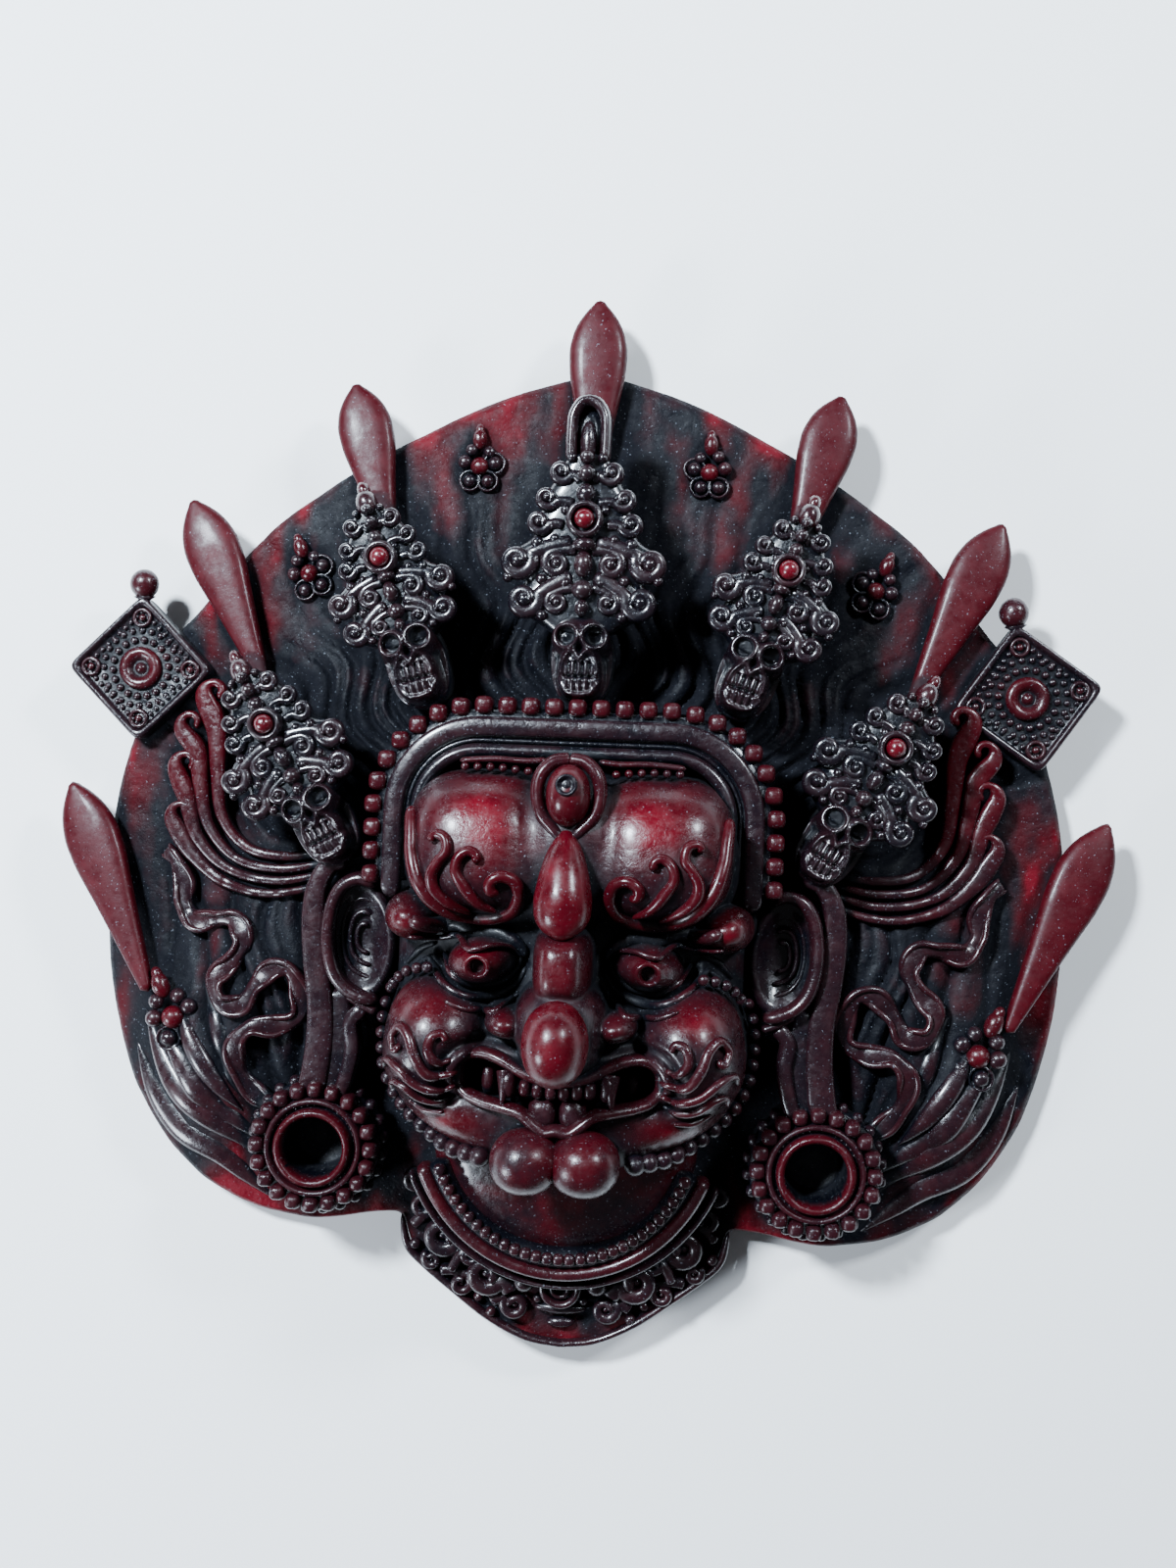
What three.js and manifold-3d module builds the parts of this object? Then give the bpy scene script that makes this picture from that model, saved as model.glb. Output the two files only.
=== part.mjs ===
// A wrathful guardian mask cast in one piece of filled resin, lying on its flat back.
// Millimetres, +Z up out of the face, +Y to the crown, +X to the viewer's right.
// The origin is on the back plane, under the middle of the mask.

import * as THREE from 'three'
import { mergeVertices } from 'three/addons/utils/BufferGeometryUtils.js'
import Module from 'manifold-3d'

const wasm = await Module()
wasm.setup()

// ---- driving dimensions ----------------------------------------------------

const HALF_HEIGHT = 123 // from the origin to the top blade's tip, and to the bib's point
const RIM_HEIGHT = 8 // thickness of the hair plate at its edge
const HAIR_HEIGHT = 17 // the hair plate where it meets the head

const BLADE_Z = 10 // middle of the seven pointed blades on the rim
const BLADE_THICK = 8

const TILE_HALF_DIAGONAL = 17.2 // the two square plaques stand on a corner
const TILE_TOP = 13
const TILES = [{ x: -105.5, y: 33, lean: 0 }, { x: 101.8, y: 33.3, lean: 0.19 }]

const ARCH_HALF_WIDTH = 45 // the bead row over the brow
const ARCH_TOP = 27.5
const ARCH_FOOT = -13
const ARCH_CORNER = 24
const ARCH_Z = 33
const ARCH_BEADS = 17

const HEAD_MIDDLE_Y = -30
const HEAD_HALF_WIDTH = 43
const HEAD_HALF_HEIGHT = 48
const HEAD_TOP = 46
const WALL = 8 // left between the face and the hollow behind it

const CROWN_Z = 33
const COLLAR_Z = 24
const COLLAR_MIDDLE_Y = -66
const EARRING_BEADS = 8
const EARRING = { x: 56.7, y: -75, hole: 6, ring: 9.7, outside: 16.6, top: 28 }

const BOTH_SIDES = [-1, 1]
const TURN = 2 * Math.PI

// ---- shapes ----------------------------------------------------------------

function solid(geometry) {
  geometry.deleteAttribute('normal')
  geometry.deleteAttribute('uv')
  const merged = mergeVertices(geometry, 1e-4)
  const mesh = { numProp: 3, vertProperties: merged.attributes.position.array, triVerts: merged.index.array }
  return new wasm.Manifold(new wasm.Mesh(mesh))
}

// An egg: a sphere stretched to three radii.
function egg([x, y, z], [rx, ry, rz], around = 8, rows = 5) {
  return new THREE.SphereGeometry(1, around, rows).rotateX(Math.PI / 2).scale(rx, ry, rz).translate(x, y, z)
}

// A small knob or drop, cut with twenty faces.
function knob([x, y, z], [rx, ry, rz]) {
  return new THREE.IcosahedronGeometry(1, 0).scale(rx, ry, rz).translate(x, y, z)
}

// The smallest knobs and beads are eight-sided.
function bead([x, y, z], [rx, ry, rz]) {
  return new THREE.OctahedronGeometry(1, 0).rotateZ(Math.PI / 4).scale(rx, ry, rz).translate(x, y, z)
}

function roundBead(x, y, z, radius) {
  return bead([x, y, z], [radius, radius, radius])
}

// A four-sided strand carried along a smooth line through the points given.
function strand(points, radius, steps) {
  const path = new THREE.CatmullRomCurve3(points.map(([x, y, z]) => new THREE.Vector3(x, y, z)))
  const section = new THREE.Shape()
  section.absarc(0, 0, radius, 0, TURN)
  return new THREE.ExtrudeGeometry(section, { steps, extrudePath: path, curveSegments: 2 })
}

// A ring whose middle line is an oval of radii rx and ry.
function ovalRing([x, y, z], rx, ry, thickness, around = 16) {
  const unit = 10
  const ring = new THREE.TorusGeometry(unit, thickness, 4, around)
  const place = ring.attributes.position
  for (let i = 0; i < place.count; i++) {
    const angle = Math.atan2(place.getY(i), place.getX(i))
    const outward = Math.hypot(place.getX(i), place.getY(i)) - unit
    place.setXY(i, (rx + outward) * Math.cos(angle), (ry + outward) * Math.sin(angle))
  }
  return ring.translate(x, y, z)
}

// A turned profile of [share of the outline, height], with its circle stretched to the outline.
function loft(outline, [x, y], profile, around) {
  const turned = new THREE.LatheGeometry(profile.map(([share, z]) => new THREE.Vector2(share, z)), around)
  const place = turned.rotateX(Math.PI / 2).attributes.position
  for (let i = 0; i < place.count; i++) {
    const share = Math.hypot(place.getX(i), place.getY(i))
    const along = (Math.atan2(place.getY(i), place.getX(i)) / TURN + 1) % 1
    const edge = outline.getPointAt(along)
    place.setXY(i, x + share * (edge.x - x), y + share * (edge.y - y))
  }
  return turned
}

// A leaf lying flat: half-widths at shares of its length, from the foot to the tip.
function leaf(foot, tip, widths, thickness, around = 6) {
  const length = Math.hypot(tip[0] - foot[0], tip[1] - foot[1])
  const profile = widths.map(([share, width]) => new THREE.Vector2(width, share * length))
  const widest = Math.max(...widths.map(([, width]) => width))
  const turn = Math.atan2(tip[1] - foot[1], tip[0] - foot[0]) - Math.PI / 2
  const blade = new THREE.LatheGeometry(profile, around).rotateY(Math.PI / 2)
  return blade.scale(1, 1, thickness / 2 / widest).rotateZ(turn).translate(...foot)
}

// A flat slab under an outline drawn with a shape.
function slab(shape, low, high) {
  return new THREE.ExtrudeGeometry(shape, { depth: high - low, bevelEnabled: false, curveSegments: 6 })
    .translate(0, 0, low)
}

function closedCurve(rightHalf) {
  const left = rightHalf.slice(1, -1).reverse().map(([x, y]) => [-x, y])
  const points = [...rightHalf, ...left].map(([x, y]) => new THREE.Vector3(x, y, 0))
  return new THREE.CatmullRomCurve3(points, true, 'centripetal')
}

// ---- the hair plate --------------------------------------------------------

function hairPlate() {
  const outline = closedCurve([[0, -HALF_HEIGHT], [13, -120], [26, -111.5], [36, -102], [38.5, -94],
    [55, -96], [74, -94], [92, -85], [104, -68], [111.5, -42], [113, -12], [108.5, 16], [98, 44],
    [82.5, 62], [59, 80], [28, 98], [0, 107]])
  const profile = [[0, 0], [1, 0], [1, RIM_HEIGHT], [0.85, 12], [0.6, HAIR_HEIGHT], [0, HAIR_HEIGHT]]
  return [loft(outline, [0, -20], profile, 40)]
}

// The hair swells again beside the earrings, under the last blade.
function sideLocks(side) {
  const lock = [[104, -48], [97, -67], [82, -79]]
  return [
    egg([side * 88, -62, 6], [19, 27, 14], 8, 6),
    strand(lock.map(([x, y]) => [side * x, y, 15]), 2.5, 3),
  ]
}

// ---- the seven blades ------------------------------------------------------

function blades() {
  const widths = [[0, 0], [0.04, 2], [0.35, 2.8], [0.82, 6.6], [0.95, 4], [1, 0]]
  const made = [leaf([0, 78, BLADE_Z + 2], [0, HALF_HEIGHT, BLADE_Z], widths, BLADE_THICK)]
  for (const side of BOTH_SIDES) {
    for (const [foot, tip] of [[[47, 66], [57, 101.5]], [[76, 33], [94.5, 73]], [[100, -42], [121, 5]]]) {
      made.push(leaf([side * foot[0], foot[1], BLADE_Z], [side * tip[0], tip[1]], widths, BLADE_THICK))
    }
  }
  return made
}

// ---- the square plaques ----------------------------------------------------

function plaque({ x, y, lean }) {
  const edge = TILE_HALF_DIAGONAL * Math.SQRT2
  const lay = (geometry) => geometry.rotateZ(Math.PI / 4 + lean).translate(x, y, 0)
  const made = [lay(new THREE.BoxGeometry(edge, edge, 7).translate(0, 0, TILE_TOP - 3.5))]
  for (const quarter of [0, 1, 2, 3]) {
    const border = new THREE.BoxGeometry(edge, 1.6, 2).translate(0, edge / 2 - 0.8, TILE_TOP + 0.6)
    made.push(lay(border.rotateZ((quarter * Math.PI) / 2)))
  }
  made.push(ovalRing([x, y, TILE_TOP], 3.6, 3.6, 1.3, 8))
  const corner = TILE_HALF_DIAGONAL + 1.8
  const knobAt = [x - corner * Math.sin(lean), y + corner * Math.cos(lean), TILE_TOP - 3]
  made.push(egg(knobAt, [3.4, 4.5, 3.4], 8, 4))
  return made
}

// ---- streamers and the waving ribbon ---------------------------------------

function streamers(side) {
  const at = (z) => ([x, y]) => [side * x, y, z]
  const inner = [[63, -11], [76, -10], [85, 2], [88, 18], [92, 27]]
  const middle = [[63, -13], [79, -13], [91, -1], [93, 13], [98, 18]]
  const outer = [[62, -16], [80, -16.5], [92, -7], [97, 0]]
  const ribbon = [[97, -11], [95, -22], [90, -29], [81, -27], [80, -36], [79, -44], [70, -38], [64, -39],
    [66, -48], [76, -50], [78, -58], [69, -65]]
  return [
    strand(inner.map(at(16)), 2.6, 6),
    strand(middle.map(at(16)), 2.4, 6),
    strand(outer.map(at(16)), 2.2, 5),
    strand(ribbon.map(at(17)), 2.2, 13),
  ]
}

// ---- ears and earrings -----------------------------------------------------

function ear(side) {
  return [
    egg([side * 49, -27, 14], [9.5, 17, 12]),
    ovalRing([side * 49.6, -27.5, 25], 5.6, 11.5, 1.9, 10),
    strand([[58, -14, 19], [58.5, -36, 23], [57.5, -59, 24]].map(([x, y, z]) => [side * x, y, z]), 2.2, 4),
    strand([[51, -40, 23], [52, -50, 24], [52, -61, 24]].map(([x, y, z]) => [side * x, y, z]), 2.6, 3),
  ]
}

function earring(side) {
  const { x, y, hole, ring, outside, top } = EARRING
  const profile = [[0, 4], [outside, 4], [outside, 16], [ring, top - 4], [ring, top], [hole, top],
    [hole - 1, 19], [0, 19]]
  const made = [new THREE.LatheGeometry(profile.map(([r, z]) => new THREE.Vector2(r, z)), 12)
    .rotateX(Math.PI / 2).translate(side * x, y, 0)]
  for (let i = 0; i < EARRING_BEADS; i++) {
    const angle = (i / EARRING_BEADS) * TURN
    made.push(roundBead(side * x + 14 * Math.cos(angle), y + 14 * Math.sin(angle), 20, 3.2))
  }
  return made
}

// ---- the arch of beads over the brow ---------------------------------------

// Up one side, over a round corner, along the top and down the other side.
function archCurve(inset, z) {
  const [w, top, r] = [ARCH_HALF_WIDTH - inset, ARCH_TOP - inset, ARCH_CORNER - inset]
  const arch = new THREE.CurvePath()
  const corner = (x, turn) => new THREE.EllipseCurve(x, top - r, r, r, turn, turn - Math.PI / 2, true)
  const runs = [
    new THREE.LineCurve(new THREE.Vector2(-w, ARCH_FOOT), new THREE.Vector2(-w, top - r)),
    corner(r - w, Math.PI),
    new THREE.LineCurve(new THREE.Vector2(r - w, top), new THREE.Vector2(w - r, top)),
    corner(w - r, Math.PI / 2),
    new THREE.LineCurve(new THREE.Vector2(w, top - r), new THREE.Vector2(w, ARCH_FOOT)),
  ]
  runs.forEach((run) => arch.add(run))
  return arch.getSpacedPoints(ARCH_BEADS - 1).map((p) => [p.x, p.y, z])
}

function browArch() {
  const wall = new THREE.Shape(archCurve(1, 0).map(([x, y]) => new THREE.Vector2(x, y)))
  const made = [slab(wall, 4, ARCH_Z)]
  for (const inset of [5, 10]) {
    made.push(strand(archCurve(inset, ARCH_Z + 0.6), 2, ARCH_BEADS - 1))
  }
  for (const [x, y, z] of archCurve(0, ARCH_Z - 1)) {
    made.push(roundBead(x, y, z, 2.9))
  }
  return made
}

// ---- the crown of five skull leaves ----------------------------------------

// One leaf of the crown: a skull at its foot, a jewelled leaf over it and a finial.
function crownLeaf([x, y], lean, length, breadth) {
  const along = (share, across = 0) => {
    const [u, v] = [across, share * length]
    return [x + u * Math.cos(lean) - v * Math.sin(lean), y + u * Math.sin(lean) + v * Math.cos(lean)]
  }
  const widths = [[0, 0], [0.05, 0.8], [0.35, 1], [0.8, 0.4], [1, 0]]
    .map(([share, width]) => [share, width * breadth])
  const made = [
    egg([...along(0.14), CROWN_Z - 2], [5.6, 6.5, 6]),
    leaf([...along(0.22), CROWN_Z], along(1), widths, 7),
    leaf([...along(0.08), CROWN_Z - 12], along(0.8), [[0, 0], [0.5, breadth * 0.45], [1, 0]], 26, 4),
    roundBead(...along(0.62), CROWN_Z + 3, 3.2),
  ]
  for (const side of BOTH_SIDES) {
    made.push(bead([...along(0.36, side * breadth * 0.85), CROWN_Z], [3.6, 3.6, 3]))
    made.push(bead([...along(0.5, side * breadth * 0.95), CROWN_Z], [3.4, 3.4, 2.8]))
  }
  return made
}

function crown() {
  const made = crownLeaf([0, 28], 0, 66.5, 12)
  for (const side of BOTH_SIDES) {
    made.push(...crownLeaf([side * 34.5, 26], -side * 0.32, 49, 10.5))
    made.push(...crownLeaf([side * 52.5, -9], -side * 0.51, 49, 10))
  }
  return made
}

// ---- the face --------------------------------------------------------------

function head() {
  const middle = [0, HEAD_MIDDLE_Y, HEAD_TOP - 30]
  return [
    egg(middle, [HEAD_HALF_WIDTH, HEAD_HALF_HEIGHT, 30], 14, 8),
    egg([0, -56, 34], [30, 20, 17], 10, 6),
    egg([0, -8, 34], [38, 19, 17], 10, 6),
    egg([0, 5, 40], [8, 10, 11]),
  ]
}

function brow(side) {
  const curl = [[33, 3.5, 38], [33, -10, 42], [20, -18.5, 47], [11, -15, 51], [14, -11, 52]]
  return [
    egg([side * 16.5, -2, 40], [17.5, 13, 15], 10, 6),
    strand(curl.map(([x, y, z]) => [side * x, y, z]), 2.4, 6),
    strand([[20, -14, 51], [26, -9, 50], [29, -1, 47]].map(([x, y, z]) => [side * x, y, z]), 1.8, 2),
    egg([side * 35, -21.5, 37], [5, 6.5, 8]),
  ]
}

function noseAndThirdEye() {
  return [
    egg([0, 10, 47], [4.4, 4.8, 10]),
    ovalRing([0, 9, 47], 6.2, 6.4, 2, 8),
    egg([0, -15, 51], [5.6, 9.5, 10]),
    egg([0, -29, 53], [5.8, 9, 9]),
    egg([0, -44, 59], [7.6, 9.5, 12.5], 10, 6),
    ...BOTH_SIDES.map((side) => egg([side * 11.3, -41.7, 50], [5, 3.8, 7])),
  ]
}

function eyeAndCheek(side) {
  return [
    egg([side * 17.2, -28.5, 43], [6.2, 5, 7]),
    strand([[8, -25, 46], [17, -22.5, 45], [28, -27, 41]].map(([x, y, z]) => [side * x, y, z]), 1.9, 4),
    egg([side * 27.5, -49, 34], [12.5, 16.5, 17], 10, 6),
  ]
}

// A gaping mouth: the hollow is cut later, and the lip and teeth are added after the cut.
const MOUTH = { y: -57, halfWidth: 20, halfHeight: 6, z: 50 }

function mouthHollow() {
  return egg([0, MOUTH.y, MOUTH.z + 3], [MOUTH.halfWidth, MOUTH.halfHeight, 10], 12, 5)
}

function lipsAndTeeth() {
  const made = [ovalRing([0, MOUTH.y, MOUTH.z], MOUTH.halfWidth + 1, MOUTH.halfHeight + 1, 1.8, 14)]
  for (const [x, y, height] of [[3, -53.5, 3], [8, -53.5, 3], [11.8, -54, 4.5], [3.6, -60.5, 4]]) {
    for (const side of BOTH_SIDES) {
      made.push(bead([side * x, y, MOUTH.z - 1], [3, height + 1, 6]))
    }
  }
  return made
}

function chinAndBeard(side) {
  const knobs = [[17.5, -69.5, 44], [25, -66.5, 41], [32, -62, 37]]
  const temples = [[39.5, -39], [39, -47], [36.5, -55]]
  return [
    egg([side * 7.2, -71, 47], [7.4, 7.4, 10], 8, 6),
    ...knobs.map(([x, y, z]) => roundBead(side * x, y, z, 3.6)),
    ...temples.map(([x, y]) => roundBead(side * x, y, 28, 2.8)),
  ]
}

// ---- collar and bib --------------------------------------------------------

function collar() {
  const throat = new THREE.Shape()
  throat.absellipse(0, COLLAR_MIDDLE_Y, 34, 33, 0, TURN)
  const made = [slab(throat, 4, COLLAR_Z)]
  const sweep = (half, rx, ry, steps) => Array.from({ length: steps + 1 }, (unused, i) => {
    const angle = -Math.PI / 2 + half * (2 * (i / steps) - 1)
    return [rx * Math.cos(angle), COLLAR_MIDDLE_Y + ry * Math.sin(angle)]
  })
  made.push(strand(sweep(1.25, 33.5, 34.3, 12).map(([x, y]) => [x, y, COLLAR_Z]), 1.8, 12))
  for (const [x, y] of sweep(1.2, 30, 31, 9)) {
    made.push(roundBead(x, y, COLLAR_Z + 0.6, 3))
  }
  return made
}

function bib() {
  const made = [ovalRing([0, -107, 14], 3, 3, 1.8, 8)]
  for (const side of BOTH_SIDES) {
    made.push(bead([side * 8.5, -106, 13], [4, 3.2, 3.4]))
    made.push(bead([side * 17.3, -105.5, 12], [5, 5, 4]))
    made.push(bead([side * 28.6, -97.5, 13], [5, 5, 4]))
    made.push(bead([side * 8, -113, 11], [4.4, 2.6, 3]))
  }
  return made
}

function flowers(side) {
  return [[27, 86, 12], [68, 60, 12], [94, -47, 18]].map(([x, y, z]) => knob([side * x, y, z], [4.4, 7, 4]))
}

// ---- the hollow behind the face --------------------------------------------

function backHollow() {
  return [
    egg([0, HEAD_MIDDLE_Y, 0], [HEAD_HALF_WIDTH - WALL, HEAD_HALF_HEIGHT - WALL, HEAD_TOP - WALL], 14, 8),
    egg([0, -42, 26], [9, 13, 22]),
  ]
}

// Everything under the back plane is taken off flat.
function bench() {
  const [size, deep] = [3 * HALF_HEIGHT, 30]
  return [new THREE.BoxGeometry(size, size, deep).translate(0, 0, -deep / 2)]
}

// ---- one casting -----------------------------------------------------------

const join = (geometries) => geometries.map(solid).reduce((all, next) => all.add(next))
const onBothSides = (...makers) => makers.flatMap((make) => BOTH_SIDES.flatMap((side) => make(side)))

const ground = join([...hairPlate(), ...head(), ...onBothSides(brow, eyeAndCheek, chinAndBeard)])
const relief = join([...blades(), ...crown(), ...browArch(), ...noseAndThirdEye(), ...collar(), ...bib(),
  ...TILES.flatMap(plaque), ...onBothSides(sideLocks, streamers, ear, earring, flowers)])
const casting = ground.add(relief)
  .subtract(solid(mouthHollow()))
  .add(join(lipsAndTeeth()))
  .subtract(join(backHollow()))
  .subtract(join(bench()))

const made = casting.getMesh()
const geometry = new THREE.BufferGeometry()
geometry.setAttribute('position', new THREE.BufferAttribute(new Float32Array(made.vertProperties), 3))
geometry.setIndex(new THREE.BufferAttribute(new Uint32Array(made.triVerts), 1))
geometry.computeVertexNormals()

const resin = new THREE.MeshStandardMaterial({ color: 0x3d0e15, roughness: 0.34, metalness: 0 })
const mask = new THREE.Mesh(geometry, resin)
mask.name = 'mask'

const model = new THREE.Group()
model.add(mask)
export default model
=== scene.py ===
"""A wrathful guardian mask cast in one piece of filled resin, lying on its flat back on a pale floor.

Lengths in the sections are millimetres, +Z out of the face and +Y to the top of the hair; each mesh
is turned into metres as it is made. Left and right are mirror images except for the two square plaques.
"""
import math

import bpy
import numpy as np
from mathutils import Matrix


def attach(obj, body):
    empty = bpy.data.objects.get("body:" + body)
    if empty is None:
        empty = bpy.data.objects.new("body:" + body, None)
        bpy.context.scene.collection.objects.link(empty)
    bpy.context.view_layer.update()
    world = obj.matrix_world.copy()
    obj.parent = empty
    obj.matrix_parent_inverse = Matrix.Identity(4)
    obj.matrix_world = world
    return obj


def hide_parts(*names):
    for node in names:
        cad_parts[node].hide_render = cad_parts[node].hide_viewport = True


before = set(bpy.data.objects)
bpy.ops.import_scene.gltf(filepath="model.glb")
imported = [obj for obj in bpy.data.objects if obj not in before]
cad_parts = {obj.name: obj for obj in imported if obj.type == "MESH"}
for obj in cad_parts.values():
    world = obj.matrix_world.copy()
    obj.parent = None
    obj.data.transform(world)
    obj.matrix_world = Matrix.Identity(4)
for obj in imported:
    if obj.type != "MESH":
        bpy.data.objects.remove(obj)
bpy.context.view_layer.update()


# ---- Camera, light and floor ------------------------------------------------------------------
# The mask lies face up, and the camera looks down on it from straight above, turned very slightly.
# One cool window stands at the upper left, with weaker ones at the upper right and the lower left.

MM = 0.001

camera_data = bpy.data.cameras.new("camera")
camera_data.lens = 38.25
camera_data.sensor_width = 36.0
camera = bpy.data.objects.new("camera", camera_data)
bpy.context.scene.collection.objects.link(camera)
bpy.context.scene.camera = camera


def aim_camera(target, distance, yaw, roll):
    """Stands the camera on the target's +Z side, turned by yaw about Y, with its picture rolled."""
    back = np.array([math.sin(yaw), 0.0, math.cos(yaw)])
    level = np.array([math.cos(yaw), 0.0, -math.sin(yaw)])
    upright = np.array([0.0, 1.0, 0.0])
    right = math.cos(roll) * level + math.sin(roll) * upright
    up = -math.sin(roll) * level + math.cos(roll) * upright
    pose = np.eye(4)
    pose[:3, 0], pose[:3, 1], pose[:3, 2] = right, up, back
    pose[:3, 3] = (np.array(target) + distance * back) * MM
    camera.matrix_world = Matrix(pose.tolist())


aim_camera(target=(1.8, 9.8, 15.0), distance=386.0, yaw=math.radians(3.5), roll=math.radians(2.3))


def window(name, place, size, power, colour):
    """A square area light at a place, facing the mask."""
    data = bpy.data.lights.new(name, "AREA")
    data.size = size * MM
    data.energy = power
    data.color = colour
    light = bpy.data.objects.new(name, data)
    toward = -np.array(place, float) / np.linalg.norm(place)
    almost_up = [0.0, 1.0, 0.01]
    side = np.cross(toward, almost_up)
    side /= np.linalg.norm(side)
    pose = np.eye(4)
    pose[:3, 0], pose[:3, 1], pose[:3, 2] = side, np.cross(-toward, side), -toward
    pose[:3, 3] = np.array(place) * MM
    light.matrix_world = Matrix(pose.tolist())
    bpy.context.scene.collection.objects.link(light)


window("window", (-330, 330, 640), 95, 25.0, (0.76, 0.88, 1.0))
window("room", (480, 420, 480), 110, 8.0, (0.80, 0.90, 1.0))
window("low_glow", (-520, -330, 330), 160, 6.0, (0.78, 0.88, 1.0))

world = bpy.data.worlds.new("studio")
bpy.context.scene.world = world
world.use_nodes = True
world.node_tree.nodes["Background"].inputs["Color"].default_value = (0.86, 0.91, 1.0, 1.0)
world.node_tree.nodes["Background"].inputs["Strength"].default_value = 0.11

FLOOR_HALF = 800 * MM
floor_mesh = bpy.data.meshes.new("floor")
floor_corners = [(x * FLOOR_HALF, y * FLOOR_HALF, 0) for x, y in ((-1, -1), (1, -1), (1, 1), (-1, 1))]
floor_mesh.from_pydata(floor_corners, [], [(0, 1, 2, 3)])
floor = bpy.data.objects.new("floor", floor_mesh)
bpy.context.scene.collection.objects.link(floor)
paper = bpy.data.materials.new("paper")
paper.use_nodes = True
paper.node_tree.nodes["Principled BSDF"].inputs["Base Color"].default_value = (0.80, 0.795, 0.79, 1.0)
paper.node_tree.nodes["Principled BSDF"].inputs["Roughness"].default_value = 0.9
floor_mesh.materials.append(paper)


# ---- Hair plate -------------------------------------------------------------------------------
# The fan of flaming hair is the ground of the whole casting: a plate with an 8 mm rim, carved in
# wavy locks, swelling towards the head and again beside the earrings, and dished behind the face.

BLACK_WAX = (0.0017, 0.0020, 0.0038, 1.0)
SMOKE = (0.0120, 0.0030, 0.0048, 1.0)
OXBLOOD = (0.032, 0.0004, 0.0024, 1.0)
BRIGHT_RED = (0.080, 0.0006, 0.0050, 1.0)
DUST = (0.16, 0.18, 0.21, 1.0)


def math_node(tree, operation, first, second):
    """A math node over two sockets or numbers."""
    node = tree.nodes.new("ShaderNodeMath")
    node.operation = operation
    for socket, value in zip(node.inputs, (first, second)):
        if isinstance(value, (int, float)):
            socket.default_value = value
        else:
            tree.links.new(value, socket)
    return node.outputs[0]


def patina_group():
    """Red resin under black wax: the wax is rubbed off where the surface stands proud.

    Bare = rub + proud x reach + noise, and as it grows the colour goes from black wax through smoke and
    oxblood to bright red. Roughness rises and the polish goes where the surface lies low.
    """
    group = bpy.data.node_groups.new("patina", "ShaderNodeTree")
    for name in ("Proud", "Rub", "Reach", "Mottle"):
        group.interface.new_socket(name, in_out="INPUT", socket_type="NodeSocketFloat")
    group.interface.new_socket("Color", in_out="OUTPUT", socket_type="NodeSocketColor")
    for name in ("Roughness", "Height", "Polish"):
        group.interface.new_socket(name, in_out="OUTPUT", socket_type="NodeSocketFloat")
    nodes, links = group.nodes, group.links
    given = nodes.new("NodeGroupInput")
    result = nodes.new("NodeGroupOutput")
    place = nodes.new("ShaderNodeTexCoord")

    def noise(scale, detail, rough):
        node = nodes.new("ShaderNodeTexNoise")
        node.inputs["Scale"].default_value = scale
        node.inputs["Detail"].default_value = detail
        node.inputs["Roughness"].default_value = rough
        links.new(place.outputs["Object"], node.inputs["Vector"])
        return node.outputs["Fac"]

    def times(first, second):
        return math_node(group, "MULTIPLY", first, second)

    def plus(first, second):
        return math_node(group, "ADD", first, second)

    def ramp(value, low, high, start=0.0, end=1.0):
        node = nodes.new("ShaderNodeMapRange")
        node.interpolation_type = "SMOOTHSTEP"
        for name, number in [("From Min", low), ("From Max", high), ("To Min", start), ("To Max", end)]:
            node.inputs[name].default_value = number
        links.new(value, node.inputs["Value"])
        return node.outputs["Result"]

    def mix(factor, first, second):
        node = nodes.new("ShaderNodeMix")
        node.data_type = "RGBA"
        links.new(factor, node.inputs["Factor"])
        for socket, value in ((node.inputs[6], first), (node.inputs[7], second)):
            if isinstance(value, tuple):
                socket.default_value = value
            else:
                links.new(value, socket)
        return node.outputs[2]

    patches = noise(75.0, 5.0, 0.62)
    smears = noise(260.0, 4.0, 0.55)
    grain = noise(720.0, 5.0, 0.65)
    specks = noise(1900.0, 2.0, 0.5)
    worn = times(given.outputs["Proud"], given.outputs["Reach"])
    mottled = times(math_node(group, "SUBTRACT", patches, 0.5), given.outputs["Mottle"])
    fine = times(math_node(group, "SUBTRACT", smears, 0.5), 0.35)
    bare = plus(plus(given.outputs["Rub"], worn), plus(mottled, fine))
    smoky = ramp(bare, 0.0, 0.45)
    red = ramp(bare, 0.30, 0.80)
    polished = ramp(bare, 0.72, 1.15)
    colour = mix(smoky, BLACK_WAX, SMOKE)
    colour = mix(red, colour, OXBLOOD)
    colour = mix(polished, colour, BRIGHT_RED)
    colour = mix(ramp(specks, 0.67, 0.74, 0.0, 0.5), colour, DUST)
    links.new(colour, result.inputs["Color"])
    waxed = plus(ramp(smears, 0.3, 0.7, 0.18, 0.32), ramp(grain, 0.35, 0.7, 0.0, 0.14))
    sunk = ramp(given.outputs["Proud"], -1.6, 0.2, 0.30, 0.0)
    links.new(plus(waxed, sunk), result.inputs["Roughness"])
    links.new(ramp(given.outputs["Proud"], -0.9, 0.3), result.inputs["Polish"])
    links.new(plus(times(smears, 0.8), times(grain, 0.5)), result.inputs["Height"])
    return group


PATINA = patina_group()
TOOLING_DEPTH = 0.6


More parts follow.
